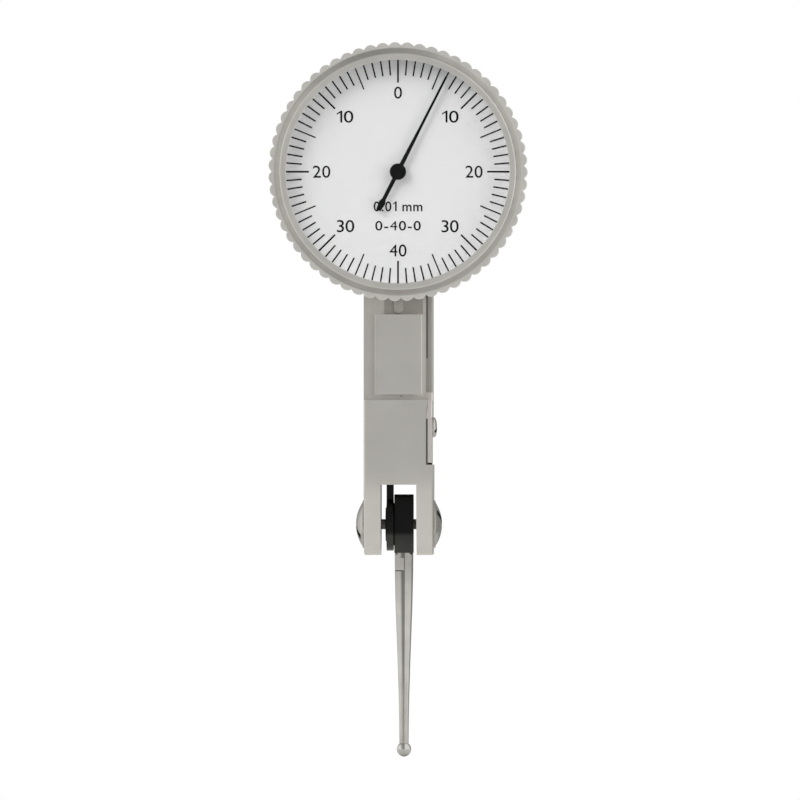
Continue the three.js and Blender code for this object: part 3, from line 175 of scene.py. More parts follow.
class NodeBench:
    """A node tree, with short ways to place and join its nodes."""

    def __init__(self, tree: bpy.types.NodeTree) -> None:
        """Takes the tree to work on."""
        self.tree = tree

    def fill(self, node: bpy.types.Node, sockets: Mapping[str | int, object]) -> None:
        """Sets or links a node's inputs.

        Args:
            node: The node.
            sockets: A value or a source for each input, by its name or number.
        """
        for key, value in sockets.items():
            if isinstance(value, Socket):
                self.tree.links.new(value, node.inputs[key])
            else:
                node.inputs[key].default_value = value

    def add(
        self, kind: str, sockets: Mapping[str | int, object] | None = None, **settings: object
    ) -> bpy.types.Node:
        """Adds a node.

        Args:
            kind: The node's type, without the word that all shader nodes start with.
            sockets: A value or a source for its inputs, by name or number.
            **settings: Its properties.

        Returns:
            The new node.
        """
        node = self.tree.nodes.new("ShaderNode" + kind)
        for key, value in settings.items():
            setattr(node, key, value)
        self.fill(node, sockets or {})
        return node

    def reckon(self, operation: str, *values: Socket | float, clamp: bool = False) -> Socket:
        """Adds a sum of numbers and sources, and gives its output."""
        settings = {"operation": operation, "use_clamp": clamp}
        return self.add("Math", dict(enumerate(values)), **settings).outputs["Value"]

    def spread(
        self, value: Socket, low: float, high: float, start: float = 0.3, end: float = 0.7,
        fade: str = "LINEAR",
    ) -> Socket:
        """Maps a value to a range.

        Args:
            value: The value, such as a pattern.
            low: Result at its start.
            high: Result at its end.
            start: Value that gives low.
            end: Value that gives high.
            fade: Kind of passage between them.

        Returns:
            The mapped value output.
        """
        limits = {"From Min": start, "From Max": end, "To Min": low, "To Max": high}
        node = self.add("MapRange", {"Value": value} | limits, interpolation_type=fade)
        return node.outputs["Result"]


class SurfaceBench(NodeBench):
    """A material's node tree, with patterns and tones for its Principled shader."""

    def __init__(self, name: str) -> None:
        """Makes the material.

        Args:
            name: Its name.
        """
        self.material = bpy.data.materials.new(name)
        self.material.use_nodes = True
        super().__init__(self.material.node_tree)

    def finished(self, sockets: Mapping[str | int, object]) -> Material:
        """Fills the shader's own sockets and gives the material."""
        self.fill(self.tree.nodes["Principled BSDF"], sockets)
        return self.material

    def place(self, stretch: Spot = (1.0, 1.0, 1.0)) -> Socket:
        """Gives Object coordinates in millimetres.

        Args:
            stretch: How far a pattern is drawn out along X, Y and Z.

        Returns:
            The vector output.
        """
        scale = [1 / (MM * share) for share in stretch]
        source = self.add("TexCoord").outputs["Object"]
        return self.add("Mapping", {"Vector": source, "Scale": scale}).outputs["Vector"]

    def noise(self, place: Socket, size: float, detail: float = 2.0) -> Socket:
        """Adds a noise pattern with features of a size in mm, and gives its value."""
        sockets = {"Vector": place, "Scale": 1 / size, "Detail": detail}
        return self.add("TexNoise", sockets).outputs["Fac"]

    def tint(self, value: Socket, colour: Colour, dark: float, light: float) -> Socket:
        """Varies a colour's brightness between two shares by a pattern from 0 to 1."""
        sockets = {"Factor": value, "A": shaded(colour, dark), "B": shaded(colour, light)}
        return self.add("Mix", sockets, data_type="RGBA").outputs["Result"]

    def scaled(self, tone: Socket, scale: Socket) -> Socket:
        """Multiplies a colour by a value."""
        node = self.add("VectorMath", {0: tone, "Scale": scale}, operation="SCALE")
        return node.outputs["Vector"]

    def banded(self, tone: Socket, band: Point, share: float, fade: float = 0.06) -> Socket:
        """Paints shade on a colour in a ring about the Y axis.

        Args:
            tone: The colour.
            band: Inner and outer radius of the ring in millimetres.
            share: Brightness inside the ring.
            fade: Half the width of the ring's soft edges in millimetres.

        Returns:
            The colour output.
        """
        flat = self.add("VectorMath", {0: self.place(), 1: (1.0, 0.0, 1.0)}, operation="MULTIPLY")
        radius = self.add("VectorMath", {0: flat.outputs["Vector"]}, operation="LENGTH")
        middle, half = sum(band) / 2, (band[1] - band[0]) / 2
        away = self.reckon("ABSOLUTE", self.reckon("SUBTRACT", radius.outputs["Value"], middle))
        return self.scaled(tone, self.spread(away, share, 1.0, half - fade, half + fade))

    def painted_light_by_height(self, tone: Socket, heights: Point, share: float) -> Socket:
        """Paints light or shade by height: changes a colour's brightness to a share between two heights
        in mm.
        """
        split = self.add("SeparateXYZ", {"Vector": self.place()})
        return self.scaled(tone, self.spread(split.outputs["Z"], share, 1.0, *heights))


@dataclass(frozen=True)
class GrainedFinish:
    """A bare, plated or blackened metal.

    Attributes:
        name: Name of its material.
        slot: Record slot that it belongs to.
        colour: Its linear colour.
        roughness: Mean roughness.
        uneven: How far roughness strays from its mean.
        grain: Size of the surface grain in mm.
        detail: Octaves of finer grain.
        stretch: How far the grain is drawn out along X, Y and Z.
        relief: Depth of the grain in mm.
        relief_share: Share of that depth that shows.
        cloud_share: Size of its clouds as a share of the grain's.
        clouding: How far its brightness strays, as a share.
        metallic: Metallic value.
        gloss: Specular level.
        bands: Inner radius, outer radius and brightness of rings of painted shade about Y, in mm.
        painted_light_by_height: Height where its painted light or shade is full, and where that ends,
            in mm.
        painted_light_share: Brightness where that painted light or shade is full.
    """

    name: str
    slot: Slot
    colour: Colour
    roughness: float
    uneven: float = 0.05
    grain: float = 0.12
    detail: float = 3.0
    stretch: Spot = (1.0, 1.0, 1.0)
    relief: float = 0.004
    relief_share: float = 0.5
    cloud_share: float = 30.0
    clouding: float = 0.05
    metallic: float = 1.0
    gloss: float = 0.5
    bands: tuple[Spot, ...] = ()
    painted_light_by_height: Point | None = None
    painted_light_share: float = 1.0

    def material(self) -> Material:
        """Builds the material.

        Returns:
            The material, with grain, clouds, and painted light and shade in rings and by height.
        """
        bench = SurfaceBench(self.name)
        grain = bench.noise(bench.place(self.stretch), self.grain, self.detail)
        clouds = bench.spread(bench.noise(bench.place(), self.cloud_share * self.grain), 0.0, 1.0)
        tone = bench.tint(clouds, self.colour, 1 - self.clouding, 1 + self.clouding)
        # Painted shade in rings, then painted light or shade by height.
        for inner, outer, share in self.bands:
            tone = bench.banded(tone, (inner, outer), share)
        if self.painted_light_by_height:
            tone = bench.painted_light_by_height(tone, self.painted_light_by_height, self.painted_light_share)
        bump = {"Height": grain, "Distance": self.relief * MM, "Strength": self.relief_share}
        low, high = self.roughness - self.uneven, self.roughness + self.uneven
        sockets = {
            "Base Color": tone,
            "Roughness": bench.spread(grain, low, high),
            "Normal": bench.add("Bump", bump).outputs["Normal"],
            "Metallic": self.metallic,
            "Specular IOR Level": self.gloss,
        }
        return bench.finished(sockets)


@dataclass(frozen=True)
class LacquerFinish(GrainedFinish):
    """Paint, print or rubber: a plain body colour, with flecks in its colour and gloss."""

    uneven: float = 0.04
    grain: float = 0.08
    detail: float = 2.0
    relief: float = 0.002
    relief_share: float = 0.3
    cloud_share: float = 1.0
    clouding: float = 0.03
    metallic: float = 0.0


@dataclass(frozen=True)
class ClearFinish:
    """A clear body, such as the window or a jewel.

    Attributes:
        name: Name of its material.
        slot: Record slot that it belongs to.
        colour: What it lets through.
        roughness: Least roughness of its surface.
        haze: How much rougher its smears are.
        ior: Refraction index.
        transmission: Share of light let through.
        gloss: Specular level.
        smear: Size of a smear in mm.
        smeared: Pattern values at which a smear starts and is full.
    """

    name: str
    slot: Slot
    colour: Colour
    roughness: float
    haze: float
    ior: float
    transmission: float
    gloss: float = 0.5
    smear: float = 4.0
    smeared: Point = (0.45, 0.75)

    def material(self) -> Material:
        """Builds the material.

        Returns:
            The material, with faint smears in its gloss.
        """
        bench = SurfaceBench(self.name)
        smears = bench.noise(bench.place((3.0, 1.0, 1.0)), self.smear, 4.0)
        worn = self.roughness + self.haze
        sockets = {
            "Base Color": self.colour,
            "Roughness": bench.spread(smears, self.roughness, worn, *self.smeared), "IOR": self.ior,
            "Transmission Weight": self.transmission, "Specular IOR Level": self.gloss,
        }
        return bench.finished(sockets)


@dataclass(frozen=True)
class FloorFinish:
    """Pale floor that fades to white where nothing shades it.

    Attributes:
        name: Name of its material.
        colour: Its linear colour.
        roughness: Its roughness.
        cloud: Size of its faint clouds in mm.
        lifts: Light that each kind of ray sees; matt surfaces see none.
    """

    name: str = "pale_floor"
    colour: Colour = srgb(222, 222, 221)
    roughness: float = 0.8
    cloud: float = 25.0
    lifts: tuple[tuple[str, float], ...] = (
        ("Is Camera Ray", 0.42), ("Is Glossy Ray", 0.045), ("Is Transmission Ray", 0.045),
    )

    def material(self) -> Material:
        """Builds the material.

        Returns:
            The material, with a faint cloudiness.
        """
        bench = SurfaceBench(self.name)
        rays = bench.add("LightPath").outputs
        glow = 0.0
        for kind, share in self.lifts:
            glow = bench.reckon("MULTIPLY_ADD", rays[kind], share, glow)
        clouds = bench.noise(bench.place(), self.cloud, 3.0)
        sockets = {
            "Base Color": bench.tint(clouds, self.colour, 0.99, 1.0), "Roughness": self.roughness,
            "Emission Color": WHITE, "Emission Strength": glow,
        }
        return bench.finished(sockets)


Finish = GrainedFinish | ClearFinish | FloorFinish

SATIN_CHROME = GrainedFinish(
    "satin_chrome_plate", Slot.SATIN_CHROME, srgb(226, 223, 216), 0.42, grain=0.16, relief=0.003,
    clouding=0.028,
)
# A darker copy of the chrome as painted shade, made 1.72 times as bright below z -30.2 mm as painted
# light.
COVER_FRONT_LIGHT_SHADE = GrainedFinish(
    "milled_cover_edge", Slot.SATIN_CHROME, srgb(188, 184, 177), 0.42, grain=0.16, relief=0.003,
    painted_light_by_height=(-30.2, -29.9), painted_light_share=1.72,
)
# A darker copy of the chrome: painted shade on the body's right chamfer and in the relief under the
# bezel.
CHROME_PAINTED_SHADE = GrainedFinish(
    "ground_chrome", Slot.SATIN_CHROME, srgb(191, 187, 180), 0.44, grain=0.16, relief=0.003
)
# Its bands are rings of painted shade: 0.86 on the lip, 15 to 16.08 mm, and 0.55 in the cove, 16.08 to
# 16.86 mm.
BEZEL_CHROME = GrainedFinish(
    "satin_chrome_bezel", Slot.BEZEL_CHROME, srgb(238, 235, 228), 0.36, relief=0.003, metallic=0.8,
    bands=((15.0, 16.08, 0.86), (16.08, 16.86, 0.55)),
)
POLISHED_STEEL = GrainedFinish(
    "bright_nickel", Slot.POLISHED_STEEL, srgb(205, 203, 198), 0.13, grain=0.3, relief=0.001
)
CAP_NICKEL = GrainedFinish(
    "cap_nickel", Slot.POLISHED_STEEL, srgb(186, 183, 176), 0.24, grain=0.3, relief=0.002
)
# Dark steel for slots and the stylus's ledges. Its colour is painted shade in these hollows; its rough,
# streaked grain stands for milling.
SLOT_PAINTED_SHADE = GrainedFinish(
    "milled_slot", Slot.POLISHED_STEEL, srgb(104, 101, 96), 0.45, stretch=(1.0, 9.0, 1.0)
)
BALL_STEEL = GrainedFinish(
    "polished_ball", Slot.POLISHED_STEEL, srgb(208, 206, 200), 0.07, grain=0.3, relief=0.0005
)
# A dark steel for the pivot shaft, which shows between the fork arm and the lever plate.
PIVOT_STEEL = GrainedFinish(
    "burnished_pivot", Slot.PLAIN_STEEL, srgb(84, 82, 78), 0.22, stretch=(8.0, 1.0, 1.0)
)
TONGUE_STEEL = GrainedFinish("tongue_steel", Slot.PLAIN_STEEL, srgb(197, 193, 186), 0.4, relief=0.002)
PLAIN_STEEL = GrainedFinish(
    "drawn_steel", Slot.PLAIN_STEEL, srgb(190, 187, 181), 0.3, stretch=(8.0, 1.0, 1.0)
)
# Between z -59 and -53.4 mm it darkens towards the block, down to 0.68: painted shade under the block.
STYLUS_STEEL = GrainedFinish(
    "ground_stylus_steel", Slot.STYLUS_STEEL, shaded(srgb(196, 193, 187), 0.99), 0.1025, uneven=0.0225,
    grain=0.1, detail=2.0, stretch=(60.0, 60.0, 1.0), relief=0.0015, relief_share=0.4, cloud_share=18.0,
    clouding=0.0606, painted_light_by_height=(-53.4, -59.0), painted_light_share=0.68,
)
# Black oxide. Below z -49.65 mm it is 13 times as bright: a painted reflection of the floor on the
# lower block and lever foot.
BLACKENED_STEEL = GrainedFinish(
    "black_oxide", Slot.BLACKENED_STEEL, srgb(12, 12, 11), 0.38, clouding=0.2, relief=0.006,
    metallic=0.6, painted_light_by_height=(-49.65, -49.1), painted_light_share=13.0,
)
MOVEMENT_BRASS = GrainedFinish(
    "lapped_brass", Slot.MOVEMENT_BRASS, srgb(214, 178, 104), 0.28, stretch=(1.0, 1.0, 12.0)
)
BLUED_STEEL = GrainedFinish("blued_steel_screws", Slot.BLUED_STEEL, srgb(46, 62, 120), 0.22)
RUBY = ClearFinish("ruby_jewel", Slot.RUBY, srgb(176, 28, 62), 0.05, 0.08, 1.76, 0.55)
WINDOW = ClearFinish(
    "acrylic_window", Slot.CRYSTAL, srgb(253, 253, 253), 0.0, 0.03, 1.25, 1.0, gloss=0.12
)
DIAL_SILVER = LacquerFinish("silvered_dial", Slot.DIAL_FACE, srgb(226, 226, 226), 0.5)
DIAL_INK = LacquerFinish("dial_print", Slot.DIAL_FACE, srgb(10, 10, 11), 0.6, gloss=0.1)
RUBBER = LacquerFinish("seal_rubber", Slot.GASKET_RUBBER, srgb(30, 30, 31), 0.75, relief=0.01)
SEAL_GREY = LacquerFinish("cover_seal_grey", Slot.GASKET_RUBBER, srgb(108, 104, 98), 0.75, relief=0.01)
HAND_BLACK = LacquerFinish("hand_lacquer", Slot.POINTER_BLACK, srgb(3, 3, 3), 0.5, gloss=0.05)

SLOT_FINISHES: dict[str, Finish] = {
    finish.slot.value: finish
    for finish in (
        SATIN_CHROME, BEZEL_CHROME, POLISHED_STEEL, PLAIN_STEEL, STYLUS_STEEL, BLACKENED_STEEL,
        MOVEMENT_BRASS, BLUED_STEEL, RUBY, WINDOW, DIAL_SILVER, RUBBER, HAND_BLACK,
    )
}


@cache
def material_of(finish: Finish) -> Material:
    """Gives a finish's material, made on first use."""
    return finish.material()


def moved(mesh: Mesh, way: Sequence[float]) -> Mesh:
    """Moves a mesh in place and gives it back."""
    bmesh.ops.translate(mesh, verts=mesh.verts, vec=way)
    return mesh


def turned(mesh: Mesh, degrees: float, axis: Axis) -> Mesh:
    """Turns a mesh in place about an axis through the origin.

    Args:
        mesh: The mesh.
        degrees: The turn in degrees.
        axis: The axis.

    Returns:
        The same mesh.
    """
    matrix = Matrix.Rotation(math.radians(degrees), 3, axis.name)
    bmesh.ops.rotate(mesh, verts=mesh.verts, matrix=matrix)
    return mesh


def tidied(mesh: Mesh) -> Mesh:
    """Merges a mesh's doubles, drops its slivers and turns its faces outward.

    Args:
        mesh: The mesh, changed in place.

    Returns:
        The same mesh.
    """
    bmesh.ops.remove_doubles(mesh, verts=mesh.verts, dist=MERGE)
    bmesh.ops.dissolve_degenerate(mesh, edges=mesh.edges, dist=MERGE)
    bmesh.ops.recalc_face_normals(mesh, faces=mesh.faces)
    return mesh


def lathe(
    profile: Sequence[Point], axis: Axis, steps: int, centre: Sequence[float] = ORIGIN,
    closed: bool = False,
) -> Mesh:
    """Spins a profile into a round piece.

    Args:
        profile: Radius and place along the axis of each point.
        axis: Axis to spin about.
        steps: Number of steps in the full turn.
        centre: A point on the axis, in mm.
        closed: True for a ring's profile, whose last point joins its first.

    Returns:
        The closed, outward mesh.
    """
    along = axis.vector
    outward = Axis.Z.vector if axis is Axis.X else Axis.X.vector
    points = [outward * radius + along * place for radius, place in profile]
    if closed:
        points.append(points[0])
    mesh = bmesh.new()
    verts = [mesh.verts.new(point) for point in points]
    chain = verts + [mesh.edges.new(pair) for pair in zip(verts, verts[1:])]
    full = {"axis": along, "angle": FULL_TURN, "steps": steps, "use_merge": True}
    bmesh.ops.spin(mesh, geom=chain, cent=ORIGIN, **full)
    return tidied(moved(mesh, centre))


def rod(
    radius: float, ends: Point, axis: Axis, centre: Sequence[float] = ORIGIN, steps: int = 32
) -> Mesh:
    """Makes a plain round bar between two places along an axis."""
    profile = [(0, ends[0]), (radius, ends[0]), (radius, ends[1]), (0, ends[1])]
    return lathe(profile, axis, steps, centre)


def ring(
    radii: Point, ends: Point, edge: float, axis: Axis, steps: int, centre: Sequence[float] = ORIGIN
) -> Mesh:
    """Makes a ring or disc with broken outer edges.

    Args:
        radii: Its inner radius, which is 0 for a disc, and its outer radius in mm.
        ends: Where it starts and ends along the axis.
        edge: Width of its broken edges.
        axis: Its axis.
        steps: Sides of the round.
        centre: A point on the axis, in mm.

    Returns:
        The mesh.
    """
    inner, outer = radii
    start, end = ends
    drop = math.copysign(edge, end - start)
    rim = [(outer - edge, start), (outer, start + drop), (outer, end - drop), (outer - edge, end)]
    return lathe([(inner, start), *rim, (inner, end)], axis, steps, centre, closed=inner > 0)


def brick(low: Sequence[float], high: Sequence[float]) -> Mesh:
    """Makes a box between two corners.

    Args:
        low: Its lowest corner in mm.
        high: Its highest corner in mm.

    Returns:
        The mesh.
    """
    mesh = bmesh.new()
    bmesh.ops.create_cube(mesh, size=1.0)
    low, high = Vector(low), Vector(high)
    bmesh.ops.scale(mesh, verts=mesh.verts, vec=high - low)
    return moved(mesh, (low + high) / 2)


def slab(points: Sequence[Point], axis: Axis, ends: Point) -> Mesh:
    """Extrudes an outline along an axis.

    Args:
        points: The outline: (y, z) along X, (x, z) along Y, (x, y) along Z.
        axis: Axis to extrude along.
        ends: Where the slab starts and ends.

    Returns:
        The closed, outward mesh.
    """
    seat = axis.value.index(1.0)
    corners = [(*point[:seat], ends[0], *point[seat:]) for point in points]
    mesh = bmesh.new()
    face = mesh.faces.new([mesh.verts.new(corner) for corner in corners])
    swept = bmesh.ops.extrude_face_region(mesh, geom=[face])
    top = [item for item in swept["geom"] if isinstance(item, bmesh.types.BMVert)]
    bmesh.ops.translate(mesh, verts=top, vec=axis.vector * (ends[1] - ends[0]))
    return tidied(mesh)


def arc(centre: Point, radius: float, start: float, end: float, steps: int) -> list[Point]:
    """Places points on an arc, both ends among them.

    Args:
        centre: Its centre.
        radius: Its radius.
        start: First angle in radians.
        end: Last angle in radians.
        steps: Number of steps.

    Returns:
        The points.
    """
    x, y = centre
    angles = [start + (end - start) * step / steps for step in range(steps + 1)]
    return [(x + radius * math.cos(turn), y + radius * math.sin(turn)) for turn in angles]


def rounded(mesh: Mesh, width: float, chosen: Callable[[Edge], bool]) -> None:
    """Bevels chosen sharp edges of a mesh.

    Args:
        mesh: The mesh, changed in place.
        width: Width of the bevel in mm.
        chosen: Says which edges to take.
    """
    sharp = [edge for edge in mesh.edges if edge.is_manifold and edge.calc_face_angle(0.0) > SHARP]
    edges = [edge for edge in sharp if chosen(edge)]
    kind = {"offset_type": "OFFSET", "affect": "EDGES", "segments": 2, "profile": 0.5}
    bmesh.ops.bevel(mesh, geom=edges, offset=width, material=-1, clamp_overlap=True, **kind)


def as_data(name: str, mesh: Mesh) -> bpy.types.Mesh:
    """Turns a working mesh into mesh data.

    Args:
        name: Name of the data.
        mesh: The mesh, freed here.

    Returns:
        The data.
    """
    data = bpy.data.meshes.new(name)
    mesh.to_mesh(data)
    mesh.free()
    return data


def in_scene(name: str, data: bpy.types.ID) -> Object:
    """Puts an object with some data into the scene.

    Args:
        name: Name of the object.
        data: Its data.

    Returns:
        The object.
    """
    item = bpy.data.objects.new(name, data)
    bpy.context.scene.collection.objects.link(item)
    return item


def evaluated(item: Object) -> Mesh:
    """Gives an object's shape, with its modifiers applied.

    Args:
        item: The object.

    Returns:
        Its mesh.
    """
    graph = bpy.context.evaluated_depsgraph_get()
    data = bpy.data.meshes.new_from_object(item.evaluated_get(graph))
    mesh = bmesh.new()
    mesh.from_mesh(data)
    bpy.data.meshes.remove(data)
    return mesh


def combined(blank: Mesh, tools: Sequence[Mesh], operation: str) -> Mesh:
    """Runs exact Booleans on a blank, one tool after another.

    Args:
        blank: The mesh to change, freed here.
        tools: The meshes to apply, freed here.
        operation: DIFFERENCE or UNION.

    Returns:
        The new mesh, with its flat faces whole.
    """
    carrier = in_scene("blank", as_data("blank", blank))
    helpers = [in_scene("tool", as_data("tool", tool)) for tool in tools]
    for helper in helpers:
        step = carrier.modifiers.new(helper.name, "BOOLEAN")
        step.operation = operation
        step.solver = "EXACT"
        step.object = helper
    result = evaluated(carrier)
    for item in (carrier, *helpers):
        spent = item.data
        bpy.data.objects.remove(item)
        bpy.data.meshes.remove(spent)
    bmesh.ops.remove_doubles(result, verts=result.verts, dist=MERGE)
    bmesh.ops.dissolve_limit(result, angle_limit=FLAT, verts=result.verts, edges=result.edges)
    return result


def cut(blank: Mesh, *tools: Mesh) -> Mesh:
    """Takes every tool out of a blank."""
    return combined(blank, tools, "DIFFERENCE")


def fused(blank: Mesh, *parts: Mesh) -> Mesh:
    """Joins every part to a blank."""
    return combined(blank, parts, "UNION")


def gathered(meshes: Sequence[Mesh]) -> Mesh:
    """Puts loose shells side by side in one mesh.

    Args:
        meshes: The shells, freed here.

    Returns:
        The mesh.
    """
    whole = bmesh.new()
    for mesh in meshes:
        data = as_data("passing", mesh)
        whole.from_mesh(data)
        bpy.data.meshes.remove(data)
    return whole


@dataclass(frozen=True)
class Extent:
    """Box round a shape in mm.

    Attributes:
        low: Lowest corner.
        high: Highest corner.
    """

    low: Vector
    high: Vector

    @classmethod
    def of(cls, node: str) -> "Extent":
        """Reads a CAD node's box from the frame."""
        low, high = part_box(node)
        return cls(Vector(low) / MM, Vector(high) / MM)

    @classmethod
    def round(cls, mesh: Mesh) -> "Extent":
        """Measures a mesh."""
        rows = list(zip(*(vert.co for vert in mesh.verts)))
        return cls(Vector(map(min, rows)), Vector(map(max, rows)))

    @property
    def middle(self) -> Vector:
        """Its centre."""
        return (self.low + self.high) / 2

    @property
    def radius(self) -> float:
        """Half its width."""
        return (self.high.x - self.low.x) / 2


def numbered(stem: str, count: int) -> list[str]:
    """Names the CAD nodes of a stem that are numbered from 1."""
    return [f"{stem}_{number}" for number in range(1, count + 1)]


def rods(nodes: Sequence[str], radius: float, ends: Point, axis: Axis = Axis.X) -> list[Mesh]:
    """Makes a like rod through the middle of each of some CAD nodes.

    Args:
        nodes: The nodes.
        radius: Radius of a rod in mm.
        ends: Where it starts and ends along the axis.
        axis: Its axis.

    Returns:
        The rods.
    """
    middles = [Extent.of(node).middle for node in nodes]
    along = axis.vector
    return [rod(radius, ends, axis, middle - along * middle.dot(along)) for middle in middles]


@dataclass(frozen=True)
class Inlay:
    """A second finish on some faces of a piece.

    Attributes:
        finish: The finish.
        holds: Says whether a face wears it.
    """

    finish: Finish
    holds: Callable[[Face], bool]

    @classmethod
    def slot(cls, floor: float) -> "Inlay":
        """Gives the walls and floor of a slot across a head on the X axis, which wear painted shade.

        Args:
            floor: Distance of the slot's floor from the YZ plane in mm.

        Returns:
            The inlay.
        """

        def holds(face: Face) -> bool:
            """Tells whether a face is the floor or a wall.

            Args:
                face: The face.

            Returns:
                Whether it is.
            """
            reach = abs(face.calc_center_median().x)
            level = abs(face.normal.x) > 0.99 and abs(reach - floor) < NEAR
            return level or (abs(face.normal.x) < 0.05 and reach > floor)

        # The slot's walls and floor get the dark steel: painted shade.
        return cls(SLOT_PAINTED_SHADE, holds)


@dataclass
class SubAssembly:
    """A group of pieces that share a maker.

    Attributes:
        body: Body that they ride on.
    """

    body: Body = Body.HOUSING

    def finish_piece(
        self, name: str, mesh: Mesh, finish: Finish, *replaced: str, edge: float = 0.0,
        smooth_below: float = 30.0, inlay: Inlay | None = None, body: Body | None = None,
    ) -> Object:
        """Turns a mesh into a piece of the object.

        Args:
            name: Name of the piece.
            mesh: Its mesh in mm, freed here.
            finish: Its finish.
            *replaced: CAD nodes that it stands for.
            edge: Width in mm of a live bevel, or 0 for none.
            smooth_below: Angle in degrees under which faces shade smoothly.
            inlay: A second finish and its faces, or None.
            body: Body that it rides on, if not the group's.

        Returns:
            The piece.
        """
        body = body or self.body
        if inlay:
            mesh.normal_update()
            for face in mesh.faces:
                face.material_index = int(inlay.holds(face))
        bmesh.ops.scale(mesh, verts=mesh.verts, vec=(MM, MM, MM))
        data = as_data(name, mesh)
        data.shade_smooth()
        data.set_sharp_from_angle(angle=math.radians(smooth_below))
        for layer in (finish, inlay.finish) if inlay else (finish,):
            data.materials.append(material_of(layer))
        piece = in_scene(name, data)
        if edge:
            self.soften(piece, edge)
        even = piece.modifiers.new("even_shading", "WEIGHTED_NORMAL")
        even.keep_sharp = True
        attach(piece, body.value)
        if replaced:
            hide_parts(*replaced)
        LOG.info("%s: %d faces on %s", name, len(data.polygons), body.value)
        return piece

    @staticmethod
    def soften(piece: Object, width: float) -> None:
        """Adds a live bevel to a piece's sharp edges.

        Args:
            piece: The piece.
            width: Width of the bevel in mm.
        """
        bevel = piece.modifiers.new("soft_edges", "BEVEL")
        bevel.width = width * MM
        bevel.segments = 2
        bevel.limit_method = "ANGLE"
        bevel.angle_limit = SHARP
        bevel.harden_normals = True


@dataclass
class BodySide(SubAssembly):
    """Side of the body, which its casting and cover share. Sizes in mm.

    Attributes:
        back: Back face.
        front: Front face.
        top: Upper end.
        outside: Lowest and highest corner of a box well outside the body, where cuts end.
        pocket: Floor of the front dovetail's pocket.
        pocket_ends: Lower and upper end of that pocket.
        open_side: Where the body ends under its cover.
        shoulder: Where the body steps out below the cover.
    """

    back: float = -1.6
    front: float = -13.6
    top: float = 13.0
    outside: tuple[Spot, Spot] = ((-6.0, -15.0, -54.0), (6.0, 1.0, 15.0))
    pocket: float = -12.0
    pocket_ends: Point = (-31.06, -17.0)
    open_side: float = 3.75
    shoulder: float = -39.88

    def side_outline(self, foot: Sequence[Point]) -> list[Point]:
        """Draws the body's side, from its upper end down to its foot.

        Args:
            foot: The lower end's points, from front to back.

        Returns:
            The outline as (y, z).
        """
        low, high = self.pocket_ends
        return [
            (self.back, self.top), (self.front, self.top), (self.front, high), (self.pocket, high),
            (self.pocket, low), (self.front, low), *foot,
        ]


